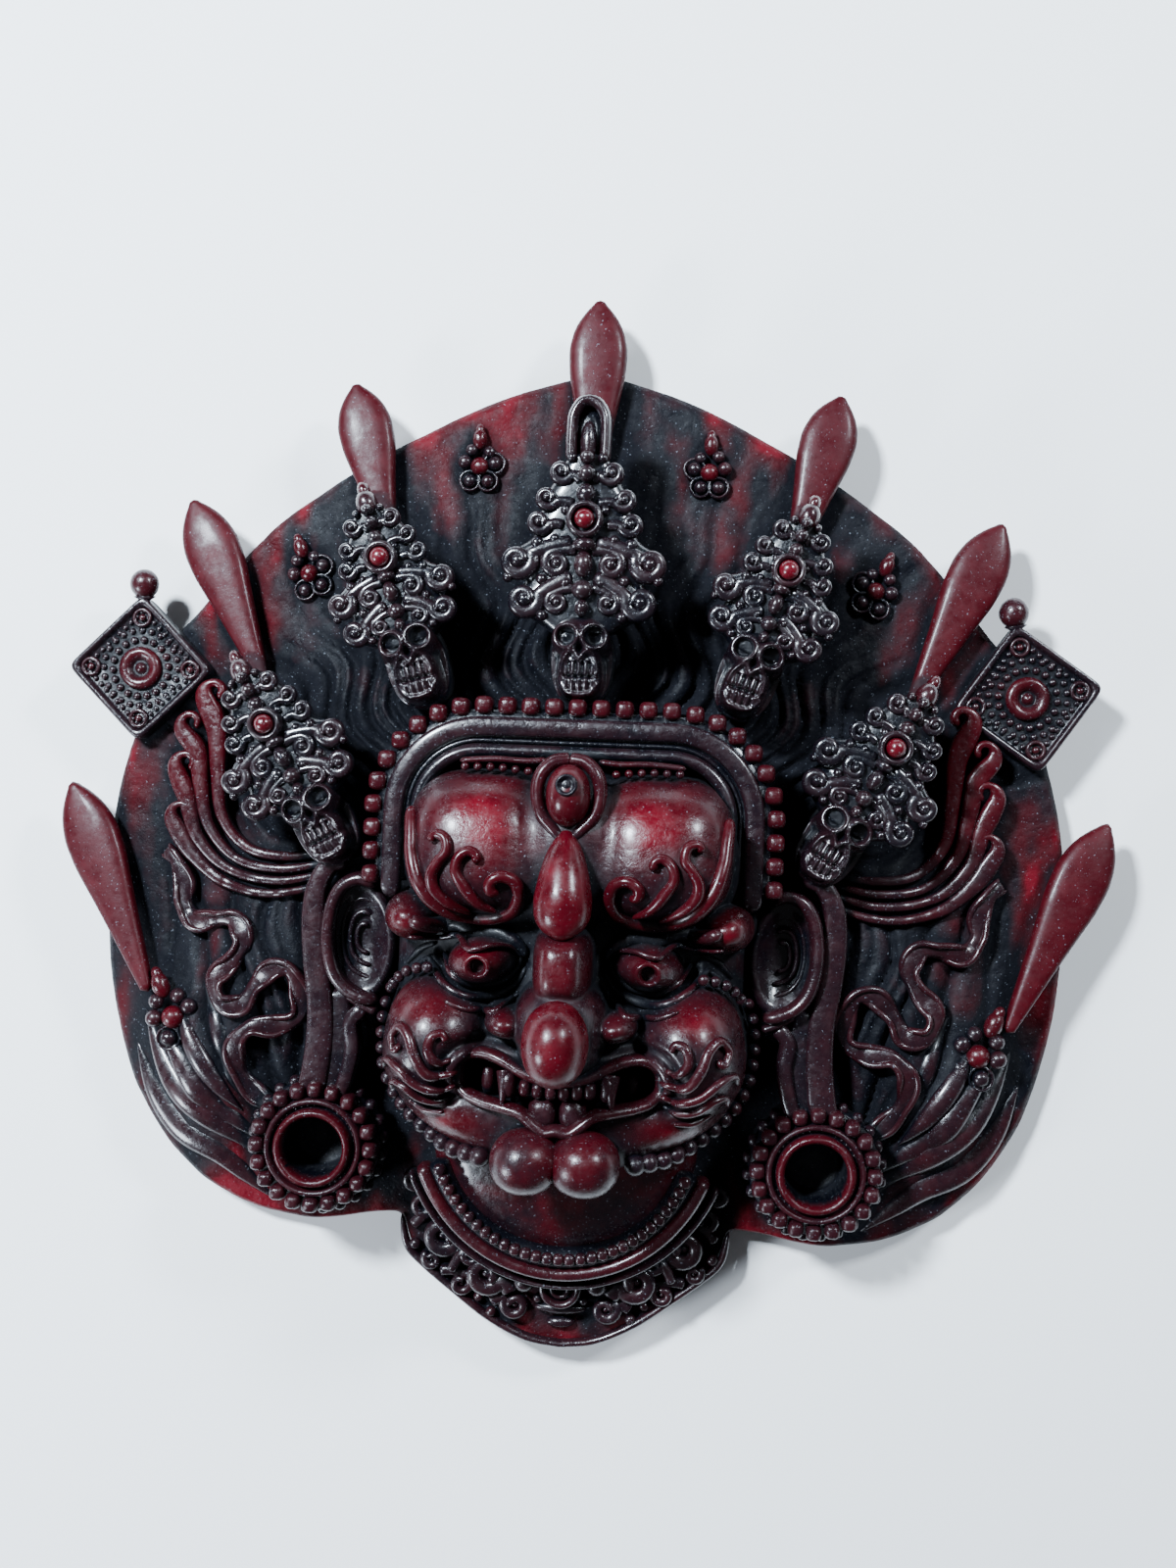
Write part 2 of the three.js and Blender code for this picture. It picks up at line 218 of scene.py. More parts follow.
def resin(name, rub, reach=0.5, mottle=0.6, bump=0.5, polish=0.05, matt=0.0):
    """Waxed resin with its own share of rubbed red: rub all over, reach for each millimetre proud.

    bump is the depth of its tooling marks, polish the clear wax over it, and matt is added to its
    roughness and taken from its gloss.
    """
    material = bpy.data.materials.new(name)
    material.use_nodes = True
    tree = material.node_tree
    nodes, links = tree.nodes, tree.links
    shader = nodes["Principled BSDF"]
    wax = nodes.new("ShaderNodeGroup")
    wax.node_tree = PATINA
    proud = nodes.new("ShaderNodeAttribute")
    proud.attribute_name = "proud"
    worn = nodes.new("ShaderNodeAttribute")
    worn.attribute_name = "rub"
    wax.inputs["Reach"].default_value = reach
    wax.inputs["Mottle"].default_value = mottle
    links.new(math_node(tree, "ADD", worn.outputs["Fac"], rub), wax.inputs["Rub"])
    links.new(proud.outputs["Fac"], wax.inputs["Proud"])
    links.new(wax.outputs["Color"], shader.inputs["Base Color"])
    links.new(math_node(tree, "ADD", wax.outputs["Roughness"], matt), shader.inputs["Roughness"])
    links.new(math_node(tree, "MULTIPLY", wax.outputs["Polish"], polish), shader.inputs["Coat Weight"])
    relief = nodes.new("ShaderNodeBump")
    relief.inputs["Strength"].default_value = bump
    relief.inputs["Distance"].default_value = TOOLING_DEPTH * MM
    links.new(wax.outputs["Height"], relief.inputs["Height"])
    links.new(relief.outputs["Normal"], shader.inputs["Normal"])
    shader.inputs["Specular IOR Level"].default_value = 0.24 - 0.6 * matt
    shader.inputs["Coat Roughness"].default_value = 0.16
    return material


def skin(rows, loop=False):
    """Quads over a grid of closed rows. Both end rows close on their middle point, or on each other."""
    count, across = rows.shape[:2]
    points = rows.reshape(-1, 3)
    last = count if loop else count - 1
    i, j = np.meshgrid(np.arange(last), np.arange(across), indexing="ij")
    i2, j2 = (i + 1) % count, (j + 1) % across
    quads = np.stack([i * across + j, i * across + j2, i2 * across + j2, i2 * across + j], -1).reshape(-1, 4)
    triangles = np.zeros((0, 3), int)
    if not loop:
        poles = np.stack([rows[0].mean(0), rows[-1].mean(0)])
        j = np.arange(across)
        j2 = (j + 1) % across
        start, end = len(points), len(points) + 1
        base = (count - 1) * across
        first = np.stack([np.full(across, start), j2, j], -1)
        final = np.stack([np.full(across, end), base + j, base + j2], -1)
        triangles = np.concatenate([first, final])
        points = np.concatenate([points, poles])
    a, b, c, d = (points[quads[:, k]] for k in range(4))
    middle = points.mean(0)
    volume = np.einsum("ij,ij->i", a - middle, np.cross(b - middle, c - middle)).sum()
    volume += np.einsum("ij,ij->i", a - middle, np.cross(c - middle, d - middle)).sum()
    if volume < 0:
        quads, triangles = quads[:, ::-1], triangles[:, ::-1]
    return points, quads, triangles


def mirrored(shapes):
    """The shapes and their mirror images across X = 0, turned right side out again."""
    flip = np.array([-1.0, 1.0, 1.0])
    return shapes + [(points * flip, quads[:, ::-1], triangles[:, ::-1]) for points, quads,
                     triangles in shapes]


PIECES = []


def piece(name, shapes, material, rub=None):
    """Joins shapes into one mesh that rides on the casting; rub is the bareness of each shape or point."""
    starts = np.cumsum([0] + [len(shape[0]) for shape in shapes])
    points = np.concatenate([shape[0] for shape in shapes])
    quads = np.concatenate([shape[1] + start for shape, start in zip(shapes, starts)])
    triangles = np.concatenate([shape[2] + start for shape, start in zip(shapes, starts)])
    bare = [0.0] * len(shapes) if rub is None else rub
    bareness = np.concatenate([np.broadcast_to(value, len(shape[0])) for shape, value in zip(shapes, bare)])
    mesh = bpy.data.meshes.new(name)
    mesh.vertices.add(len(points))
    mesh.vertices.foreach_set("co", (points * MM).astype(np.float32).ravel())
    corners = np.concatenate([quads.ravel(), triangles.ravel()]).astype(np.int32)
    mesh.loops.add(len(corners))
    mesh.loops.foreach_set("vertex_index", corners)
    sizes = np.concatenate([np.full(len(quads), 4), np.full(len(triangles), 3)])
    mesh.polygons.add(len(sizes))
    mesh.polygons.foreach_set("loop_start", (np.cumsum(sizes) - sizes).astype(np.int32))
    mesh.polygons.foreach_set("use_smooth", np.ones(len(sizes), bool))
    mesh.update(calc_edges=True)
    mesh.attributes.new("rub", "FLOAT", "POINT").data.foreach_set("value", bareness.astype(np.float32))
    mesh.materials.append(material)
    made = bpy.data.objects.new(name, mesh)
    bpy.context.scene.collection.objects.link(made)
    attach(made, "root")
    PIECES.append((made, points))
    return made


def smooth_step(value, low, high):
    """0 below low, 1 above high, and an even S between."""
    share = np.clip((value - low) / (high - low), 0.0, 1.0)
    return share * share * (3.0 - 2.0 * share)


HEAD_MIDDLE = np.array([0.0, -30.0])

# half of the plate's outline, from the top down to the point of the bib
RIM_POINTS = np.array([(0, 107), (20, 101.5), (40, 92.0), (52, 85.5), (65, 77), (75, 69.5), (84, 60),
                       (93, 48.5), (99, 42), (104, 30), (109.5, 14), (112, 3), (113.5, -12), (113, -30),
                       (110.5, -48), (105, -66), (97, -79), (87, -88.5), (74, -94.5), (60, -96.5), (46, -94),
                       (38.5, -93.5), (37.5, -98), (35, -104), (26, -111.5), (18, -117), (11, -121),
                       (0, -123)], float)
RIM_TURN = np.arctan2(RIM_POINTS[:, 0], RIM_POINTS[:, 1] - HEAD_MIDDLE[1])
RIM_REACH = np.hypot(RIM_POINTS[:, 0], RIM_POINTS[:, 1] - HEAD_MIDDLE[1])


def rim_reach(x, y):
    """Distance from the head's middle to the rim in the direction of a point."""
    return np.interp(np.arctan2(np.abs(x), y - HEAD_MIDDLE[1]), RIM_TURN, RIM_REACH)


def mound(x, y, middle, size):
    """A bell of height 1 over its middle, falling off across and along by its two sizes."""
    return np.exp(-((x - middle[0]) / size[0]) ** 2 - ((y - middle[1]) / size[1]) ** 2)


def melted(a, b, soft):
    """The higher of two heights, rounded over where they are nearly level."""
    share = np.clip(0.5 + 0.5 * (a - b) / soft, 0, 1)
    return a * share + b * (1 - share) + soft * share * (1 - share)


def round_angles(count):
    """Evenly spaced angles once round, in radians."""
    return np.linspace(0, 2 * math.pi, count, endpoint=False)


def compass(count):
    """Directions once round as seen from above, from +Y towards +X."""
    turn = round_angles(count)
    return np.stack([np.sin(turn), np.cos(turn)], -1)


LUMP_SEED = 7
LUMP_GRID = 64
LUMPS = np.random.default_rng(LUMP_SEED).uniform(-1, 1, (LUMP_GRID, LUMP_GRID))


def lumps(u, v):
    """Smooth seeded unevenness of one unit's grain: a grid of random values joined by even S curves."""
    i, j = np.floor(u).astype(int), np.floor(v).astype(int)
    s, t = smooth_step(u - i, 0, 1), smooth_step(v - j, 0, 1)
    i, j, i2, j2 = i % LUMP_GRID, j % LUMP_GRID, (i + 1) % LUMP_GRID, (j + 1) % LUMP_GRID
    near = LUMPS[i, j] * (1 - s) + LUMPS[i2, j] * s
    far = LUMPS[i, j2] * (1 - s) + LUMPS[i2, j2] * s
    return near * (1 - t) + far * t


def lock(phase, along):
    """Round-backed locks, one to a unit of phase, each with its own height, some of them split in two."""
    number = np.floor(phase)
    own = lumps(number * 5.3, along / 34.0 + number * 0.37)
    back = np.sin(math.pi * (phase - number)) ** 0.62
    split = np.abs(np.sin(2 * math.pi * (phase - number))) ** 0.8
    share = smooth_step(lumps(number * 3.1 + 20, along / 26.0), -0.1, 0.4)
    return (back * (1 - 0.45 * share) + 0.45 * split * share) * (1.0 + 0.3 * own)


def hair_height(x, y):
    """Height of the hair: a swelling plate, plus three sets of locks, each strong in its own region."""
    x = np.abs(x)
    away = np.hypot(x, y - HEAD_MIDDLE[1])
    share = away / rim_reach(x, y)
    height = 8.3 + 4.5 * (1.0 - smooth_step(share, 0.5, 1.0))
    # the swell under the long locks, the one behind the ear, and the one under the throat
    height += 8.0 * mound(x, y, (87, -60), (16, 25)) * (1.0 - smooth_step(share, 0.86, 1.0))
    height += 6.0 * mound(x, y, (68, -32), (17, 24))
    throat_share = np.hypot(x / 36.0, (y + 84.0) / 34.0)
    height += 8.0 * (1.0 - smooth_step(throat_share, 0.35, 1.0)) * smooth_step(-y, 60, 80)

    # above: locks that fan out from under the chin, waving, and ebb towards the rim
    turn = np.arctan2(x, y + 60.0)
    reach = np.hypot(x, y + 60.0)
    wave = 2.7 * np.sin(reach / 4.4 + 1.6 * np.sin(4.0 * turn)) * (1.0 - 0.75 * smooth_step(reach, 110, 165))
    wave += 1.5 * np.sin(reach / 9.0 + 3.0 * turn) + 1.6 * lumps(turn * 4.0 + 9, reach / 24.0)
    fan = (turn + wave / reach) * 18.0
    upper = smooth_step(y - 0.18 * x, -16.0, 2.0)
    ebb = 1.0 - smooth_step(reach + 12.0 * lumps(turn * 9.0, reach / 30.0), 98.0, 148.0)
    height += upper * (2.9 * ebb + 0.25) * (lock(fan, reach) - 0.72 + 0.16 * lumps(fan * 5.0, reach / 14.0))

    # inside the streamers: locks that bend round with them
    bay = np.hypot(x - 60.0, y - 17.0)
    in_bay = smooth_step(x, 50.0, 58.0) * (1.0 - smooth_step(bay, 25.0, 30.0)) * (1.0 - smooth_step(y, 12.0,
                                                                                                    30.0))
    height += in_bay * (2.2 * (lock(bay / 4.6 + 0.3 * lumps(x / 9.0, y / 9.0), x) - 0.7) - 2.0)

    # below: locks that follow the rim
    inward = rim_reach(x, y) - away
    ripple = 1.5 * np.sin(y / 7.5 + inward / 9.0) + 2.4 * lumps(x / 15.0, y / 15.0)
    lower = smooth_step(-y, 2.0, 22.0) * smooth_step(x, 44.0, 58.0)
    depth = 2.6 * smooth_step(inward, 10.0, 24.0) + 0.3
    height += lower * depth * (lock((inward + 1.6 * ripple) / 8.5, y + 200.0) - 0.72) * smooth_step(inward,
                                                                                                    0.0, 4.0)
    return height + 0.30 * lumps(x / 6.0 + 3, y / 6.0) + 0.16 * lumps(x / 2.2, y / 2.2 + 5)


HOLLOW = np.array([(1.03, 0.0), (1.0, 0.6), (0.97, 9.0), (0.86, 19.0), (0.68, 27.5), (0.45, 33.5),
                   (0.2, 36.5), (0.04, 37.0)])
HOLLOW_HALF = np.array([35.0, 40.0])


def hollow_rows(way, first, clear):
    """Rows of the oval dish behind the face, from a step of its profile inwards, raised to clear it."""
    reach = 1.0 / np.hypot(way[:, 0] / HOLLOW_HALF[0], way[:, 1] / HOLLOW_HALF[1])
    flat = HEAD_MIDDLE + HOLLOW[first:, 0, None, None] * reach[None, :, None] * way
    return np.dstack([flat, np.repeat(HOLLOW[first:, 1:] + clear, len(way), 1)])


def over_hollow(points, clear):
    """The points, with those inside the hollow raised to clear it."""
    share = np.hypot(*((points[:, :2] - HEAD_MIDDLE) / HOLLOW_HALF).T)
    roof = np.interp(share, HOLLOW[::-1, 0], HOLLOW[::-1, 1])
    low = (share < 1.03) & (points[:, 2] < roof + clear)
    return np.column_stack([points[:, :2], np.where(low, roof + clear, points[:, 2])])


PLATE_STEPS = 720


def plate():
    """Rows from the head's middle out over the carved top, round the rim, and back under to the hollow."""
    turns = round_angles(PLATE_STEPS)
    way = compass(PLATE_STEPS)
    reach = np.interp(np.abs((turns + math.pi) % (2 * math.pi) - math.pi), RIM_TURN, RIM_REACH)
    reach = np.mean([np.roll(reach, shift) for shift in range(-3, 4)], 0)
    shares = np.concatenate([[0.02, 0.2], np.linspace(0.32, 0.985, 104)])
    flat = HEAD_MIDDLE + shares[:, None, None] * reach[None, :, None] * way
    top = np.dstack([flat, hair_height(flat[..., 0], flat[..., 1])])
    edge = top[-1, :, 2]
    rows = [top]
    for share, keep in [(0.997, 0.82), (1.0, 0.55), (0.999, 0.15), (0.985, 0.0)]:
        line = HEAD_MIDDLE + share * reach[:, None] * way
        rows.append(np.dstack([line[:, 0], line[:, 1], keep * edge]))
    dish = hollow_rows(way, 0, 0.0)
    ground = HEAD_MIDDLE + 1.31 * (dish[0, :, :2] - HEAD_MIDDLE)
    rows += [np.dstack([ground[:, 0], ground[:, 1], np.zeros(PLATE_STEPS)]), dish]
    return skin(np.concatenate([row.reshape(-1, PLATE_STEPS, 3) for row in rows]))


def hair_rub(x, y):
    """Bareness of the hair: red breaks through in patches towards the rim and along the very edge."""
    share = np.hypot(x, y - HEAD_MIDDLE[1]) / rim_reach(x, y)
    patches = 0.40 + 0.7 * lumps(x / 7.0 + 40, y / 19.0) + 0.5 * lumps(x / 3.0, y / 9.0 + 31)
    return 0.80 * smooth_step(share, 0.50, 0.96) * patches + 0.16 * smooth_step(share, 0.965, 0.99) - 0.06


hair_shape = plate()
hair_wax = resin("hair_wax", rub=0.10, reach=0.18, mottle=1.2, bump=0.9, polish=0.0, matt=0.22)
hair = piece("hair_plate", [hair_shape], hair_wax, rub=[hair_rub(hair_shape[0][:, 0], hair_shape[0][:, 1])])
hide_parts("mask")


# ---- Blades -----------------------------------------------------------------------------------
# Seven flame blades lie across the rim, one at the top and three on each side: plain pointed leaves,
# broad towards the tip and drawn out thin inwards, rubbed back to clean crimson.

def evenly(line, count, endpoint=True):
    """A line drawn again with its points evenly spaced; without its end point where it closes on itself."""
    run = np.concatenate([[0], np.cumsum(np.linalg.norm(np.diff(line, axis=0), axis=1))])
    even = np.linspace(0, run[-1], count, endpoint=endpoint)
    return np.stack([np.interp(even, run, column) for column in line.T], -1)


def smooth_line(points, count):
    """A line through the points: a cubic between each pair with its neighbours' slopes, evenly spaced."""
    points = np.array(points, float)
    if len(points) == 2:
        return points[0] + np.linspace(0, 1, count)[:, None] * (points[1] - points[0])
    ends = np.vstack([2 * points[0] - points[1], points, 2 * points[-1] - points[-2]])
    share = np.linspace(0, 1, 24, endpoint=False)[:, None]
    a, b, c, d = (ends[k:len(ends) - 3 + k, None, :] for k in range(4))
    cubic = 0.5 * (2 * b + (c - a) * share + (2 * a - 5 * b + 4 * c - d) * share ** 2
                   + (3 * b - a - 3 * c + d) * share ** 3)
    return evenly(np.vstack([cubic.reshape(-1, points.shape[1]), points[-1:]]), count)


def strand(path, width, height, sides=12, square=1.0, ends=0.08, loop=False):
    """An oval section, width and height being its half sizes, carried along a path and closed at both ends.

    square below 1 fattens the oval towards a box; the ends round off over their share of the length.
    """
    path = np.asarray(path, float)
    count = len(path)
    if loop:
        along = np.roll(path, -1, 0) - np.roll(path, 1, 0)
    else:
        along = np.gradient(path, axis=0)
    along /= np.linalg.norm(along, axis=1)[:, None] + 1e-9
    across = np.cross(along, [0.0, 0.0, 1.0])
    across /= np.linalg.norm(across, axis=1)[:, None] + 1e-9
    over = np.cross(across, along)
    run = np.linspace(0, 1, count)
    fade = np.ones(count)
    if not loop:
        near = np.clip(np.minimum(run, 1 - run) / max(ends, 1e-6), 0.0, 1.0)
        fade = np.sqrt(np.clip(1 - (1 - near) ** 2, 0.004, 1.0))
    angle = round_angles(sides)
    cosine = np.sign(np.cos(angle)) * np.abs(np.cos(angle)) ** square
    sine = np.sign(np.sin(angle)) * np.abs(np.sin(angle)) ** square
    wide = (np.broadcast_to(width, count) * fade)[:, None, None]
    tall = (np.broadcast_to(height, count) * fade)[:, None, None]
    rows = (path[:, None, :] + across[:, None, :] * wide * cosine[None, :, None]
            + over[:, None, :] * tall * sine[None, :, None])
    return skin(rows, loop)


def blade(foot, tip, breadth, low, high):
    """A leaf whose half-width follows its length: thin foot, full breadth at three quarters, pointed tip."""
    path = smooth_line([(*foot, low), (*tip, high)], 64)
    run = np.linspace(0, 1, 64)
    width = breadth * np.interp(run, [0, 0.1, 0.4, 0.62, 0.75, 0.85, 0.92, 0.97, 1.0],
                                [0.20, 0.32, 0.66, 0.95, 1.0, 0.84, 0.56, 0.26, 0.03])
    smooth = np.convolve(np.pad(width, 2, mode="edge"), np.ones(5) / 5, mode="valid")
    return strand(path, smooth, 0.22 * smooth + 1.5, sides=32, square=0.72, ends=0.012)


BLADES = [((0, 76), (0, 123), 6.9, 13, 11)]
for side in (-1, 1):
    BLADES.append(((side * 46.5, 62), (side * 57, 102), 6.6, 14, 11))
    BLADES.append(((side * 75, 30), (side * 95, 73.5), 6.7, 14, 11))
    BLADES.append(((side * 99.5, -43), (side * 121.5, 5.5), 6.6, 16, 11))
piece("blades", [blade(*sizes) for sizes in BLADES],
      resin("blade_red", rub=0.70, reach=0.10, mottle=0.25, bump=0.15, matt=0.14))


# ---- Square plaques ---------------------------------------------------------------------------
# Two square plaques stand on a corner at the temples, each with a rubbed rim, a ringed boss, rows of
# pearls and a ball on the upper corner. They were pressed into the wax by hand and lean differently.

def turned(profile, sides=48):
    """A profile of (radius, height) carried once round the Z axis; it starts and ends near the axis."""
    profile = np.array(profile, float)
    angle = round_angles(sides)
    rows = np.stack([profile[:, :1] * np.cos(angle), profile[:, :1] * np.sin(angle),
                     np.repeat(profile[:, 1:], sides, 1)], -1)
    return skin(rows)


def moved(shape, place, turn=0.0):
    """A shape turned about the Z axis and put in its place."""
    points, quads, triangles = shape
    c, s = math.cos(turn), math.sin(turn)
    x, y, z = points.T
    spun = np.stack([c * x - s * y, s * x + c * y, z], -1)
    return spun + np.asarray(place, float), quads, triangles


def egg(middle, radii, turn=0.0, rows=20, sides=28, power=2.0):
    """An egg of three radii: rows step from pole to pole about Z; power over 2 makes it boxier."""
    polar = np.linspace(0, math.pi, rows + 2)[1:-1]
    angle = round_angles(sides)

    def bent(value):
        return np.sign(value) * np.abs(value) ** (2.0 / power)

    rows_out = np.stack([radii[0] * bent(np.sin(polar))[:, None] * bent(np.cos(angle)),
                         radii[1] * bent(np.sin(polar))[:, None] * bent(np.sin(angle)),
                         radii[2] * bent(np.cos(polar))[:, None] * np.ones(sides)], -1)
    return moved(skin(rows_out), middle, turn)


def pearls(places, radius, height=1.0, sides=10, rows=5, power=2.0):
    """One small egg repeated at every place, as one array."""
    points, quads, triangles = egg((0, 0, 0), (1, 1, height), rows=rows, sides=sides, power=power)
    places = np.asarray(places, float)
    sizes = np.broadcast_to(radius, len(places))[:, None, None]
    steps = (np.arange(len(places)) * len(points))[:, None, None]
    return ((points * sizes + places[:, None, :]).reshape(-1, 3), (quads + steps).reshape(-1, 4),
            (triangles + steps).reshape(-1, 3))


def ring_of(middle, reach, count, start=0.0):
    """Evenly spaced places on a circle."""
    angle = start + np.arange(count) / count * 2 * math.pi
    return np.stack([middle[0] + reach * np.cos(angle), middle[1] + reach * np.sin(angle),
                     np.full(count, middle[2])], -1)


TILE_EDGE = 12.4
TILE_TOP = 13.6
TILE_STEPS = 128


def tile_plate():
    """A square slab: a circle's directions stretched to a square, with a raised rim and eased corners."""
    angle = round_angles(TILE_STEPS)
    square = 1.0 / (np.abs(np.cos(angle)) ** 14 + np.abs(np.sin(angle)) ** 14) ** (1 / 14)
    rows = []
    for share, height in [(0.03, 0), (0.5, 0), (0.84, 0), (0.87, 0.2), (0.885, 1.0), (0.91, 1.3), (0.96, 1.3),
                          (0.985, 1.1), (1.0, 0.5), (1.0, -4.0), (0.97, -6.0), (0.1, -6.0)]:
        reach = TILE_EDGE * share * square
        flat = np.full(TILE_STEPS, float(height))
        rows.append(np.stack([reach * np.cos(angle), reach * np.sin(angle), flat], -1))
    return skin(np.stack(rows))


def plaque():
    """The slab with its boss, pearl rows and corner ornaments, all about the slab's own middle."""
    reach = TILE_EDGE * 0.68
    corners = np.array([(a * reach, b * reach, 0.3) for a in (-1, 1) for b in (-1, 1)])
    edges = np.linspace(-0.76, 0.76, 11) * TILE_EDGE
    row = TILE_EDGE * 0.77
    border = np.concatenate([np.stack([edges, np.full(11, side * row), np.full(11, 0.1)], -1)[:, order]
                             for side in (-1, 1) for order in ([0, 1, 2], [1, 0, 2])])
    boss = turned([(0.01, -1.5), (5.0, -1.5), (5.0, 0.9), (4.4, 1.5), (3.6, 1.7), (2.6, 1.2), (2.0, 0.2),
                   (1.6, -0.2), (1.2, 0.4), (0.7, 0.9), (0.02, 1.1)], 40)
    shapes = [tile_plate(), boss, pearls(ring_of((0, 0, 0.2), 6.7, 18), 0.95),
              pearls(ring_of((0, 0, 0.1), 8.9, 24), 0.85), pearls(border, 0.72)]
    rub = [0.0, 0.42, 0.12, 0.05, 0.0]
    for corner in corners:
        shapes.append(moved(strand(ring_of((0, 0, 0), 1.9, 16), 0.55, 0.8, sides=8, loop=True), corner))
        shapes.append(pearls([corner], 0.9))
        rub += [0.15, 0.3]
    return shapes, rub


tile_parts, tile_rub = plaque()
for side, x, y, lean in (("left", -105.5, 33.0, 0.0), ("right", 101.8, 33.3, 0.19)):
    placed = [moved(part, (x, y, TILE_TOP - 1.0), lean + math.pi / 4) for part in tile_parts]
    up = np.array([-math.sin(lean), math.cos(lean)])
    foot = np.array([x, y]) + up * 15.5
    ball = np.array([x, y]) + up * 20.0
    stem_path = [(*(foot + up * along), TILE_TOP - drop) for along, drop in ((0, 2), (1.5, 1.6), (3, 1.4))]
    stem = strand(stem_path, 2.6, 2.4, sides=16, ends=0.3)
    placed += [stem, egg((*ball, TILE_TOP - 1.2), (3.4, 3.5, 3.3))]
    piece("plaque_" + side, placed, resin("plaque_wax_" + side, rub=0.10, reach=0.25, mottle=0.5, polish=0.3),
          rub=tile_rub + [0.0, 0.25])


# ---- Streamers and ribbon ---------------------------------------------------------------------
# From a knot behind each ear four flat streamers sweep out and end in curls, and below them a
# ribbon winds down to the earring. Their flat tops are rubbed red, the grooves between stay black.

def scroll(start, heading, length, bends, count):
    """A line drawn by a turning heading in degrees; bends, in degrees a millimetre, change evenly."""
    step = length / (count - 1)
    bend = np.interp(np.linspace(0, 1, count - 1), np.linspace(0, 1, len(bends)), bends)
    way = np.radians(heading + np.cumsum(bend * step) - bend[0] * step)
    steps = np.stack([np.cos(way), np.sin(way)], -1) * step
    return np.asarray(start, float) + np.vstack([[0, 0], np.cumsum(steps, 0)])


def heading_of(path):
    """Direction, in degrees, in which a line ends."""
    last = path[-1] - path[-3]
    return math.degrees(math.atan2(last[1], last[0]))


def blur_line(values, width):
    """A row of values averaged over a moving window."""
    return np.convolve(np.pad(values, width // 2, mode="edge"), np.ones(width) / width, mode="valid")


def lifted(path, height):
    """A flat line given its heights: a number, or one for each point."""
    return np.column_stack([path, np.broadcast_to(height, len(path))])


STREAMERS = [([(58, -8.5), (68, -10), (78, -8), (84, -1), (85.4, 9), (86.2, 19), (89.0, 25.5)], 2.1),
             ([(58, -11), (69, -12.8), (80, -11), (87, -3.6), (89.4, 6), (90.6, 13.5), (93.6, 17.5)], 1.9),
             ([(58, -13.5), (70, -15.6), (82, -13.4), (89.6, -6.4), (92.6, 2.6), (95.2, 8.6)], 1.9),
             ([(58, -16), (71, -18.6), (83, -16.4), (91, -10), (95.4, -3.4)], 1.8)]
streamer_shapes = []
for points, half in STREAMERS:
    run = smooth_line(points, 70)
    curl = scroll(run[-1], heading_of(run), 11.0, [12, 26, 40], 30)
    line = np.vstack([run, curl[1:]])
    share = np.linspace(0, 1, len(line))
    ground_height = hair_height(line[:, 0], line[:, 1])
    top = np.maximum(blur_line(ground_height, 9), 12.5) + 1.2
    taper = half * np.interp(share, [0, 0.3, 0.5, 0.66, 0.76, 0.84, 1.0],
                             [0.48, 0.6, 0.9, 1.3, 1.0, 0.5, 0.42])
    streamer_shapes.append(strand(lifted(line, top), taper, 1.9, sides=16, square=0.6, ends=0.03))
streamer_shapes = mirrored(streamer_shapes)
piece("streamers", streamer_shapes, resin("streamer_wax", rub=0.16, reach=0.45, mottle=0.6, polish=0.25),
      rub=[0.32 * smooth_step(shape[0][:, 1], -8.0, 12.0) for shape in streamer_shapes])

RIBBON = [(98, -9.5), (95, -12), (92.6, -17), (92.6, -22), (89.5, -26), (84, -25), (79, -25), (76.6, -29.5),
          (79, -34.5), (82.6, -39), (81, -44), (76, -44.5), (73, -40), (69, -35.8), (64.8, -35.8),
          (62.5, -40.5), (63, -46.5), (68, -49), (73.5, -49.5), (77, -53.5), (77, -59), (74, -64),
          (69.5, -67.2), (64, -67.5)]
run = smooth_line(RIBBON, 260)
share = np.linspace(0, 1, len(run))
ground_height = blur_line(hair_height(run[:, 0], run[:, 1]), 21)
twist = np.sin(share * 2 * math.pi * 5.3 + 0.6)
side_step = np.gradient(run, axis=0)[:, ::-1] * [1, -1]
side_step /= np.linalg.norm(side_step, axis=1)[:, None]
width = 2.5 - 0.9 * twist ** 2
height = ground_height + 1.6 + 0.7 * twist
ribbon = strand(lifted(run, height), width, 1.5, sides=16, square=0.6, ends=0.02)
hems = [strand(lifted(run + side_step * (edge * (width - 0.5))[:, None], height + 0.7 + 0.9 * edge * twist),
               0.8, 1.2, sides=10, ends=0.02) for edge in (-1, 1)]
piece("ribbons", mirrored([ribbon, *hems]), resin("ribbon_wax", rub=0.16, reach=0.3, mottle=0.5, polish=0.35),
      rub=[0.0, 0.08, 0.08] * 2)


# ---- Locks beside the earrings ----------------------------------------------------------------
# Long separate locks follow the rim from under the last blade and run in below the earring, and a
# small flower of balls is set where they start.

LOCKS = [([(101.5, -48), (97, -57), (91.5, -65), (83, -72), (75, -78), (69, -86)], 2.0),
         ([(97, -50), (91, -58), (85.5, -66), (78, -72), (71, -78)], 1.8),
         ([(104, -56), (98.5, -67), (91.5, -75), (82.5, -80), (76, -86), (69, -92)], 2.2),
         ([(92, -46), (87.5, -55), (82, -63), (76, -70)], 1.5),
         ([(86, -40), (82, -50), (79.5, -60), (76, -67)], 1.3)]
lock_shapes = []
for points, half in LOCKS:
    run = smooth_line(points, 60)
    top = blur_line(hair_height(run[:, 0], run[:, 1]), 9)
    share = np.linspace(0, 1, len(run))
    width = 1.7 * half * np.sin(math.pi * (0.15 + 0.75 * share))
    lock_shapes.append(strand(lifted(run, top - 0.3), width, 1.7, sides=14, ends=0.4))
piece("rim_locks", mirrored(lock_shapes), resin("lock_wax", rub=0.14, reach=0.35, mottle=0.7, polish=0.45))

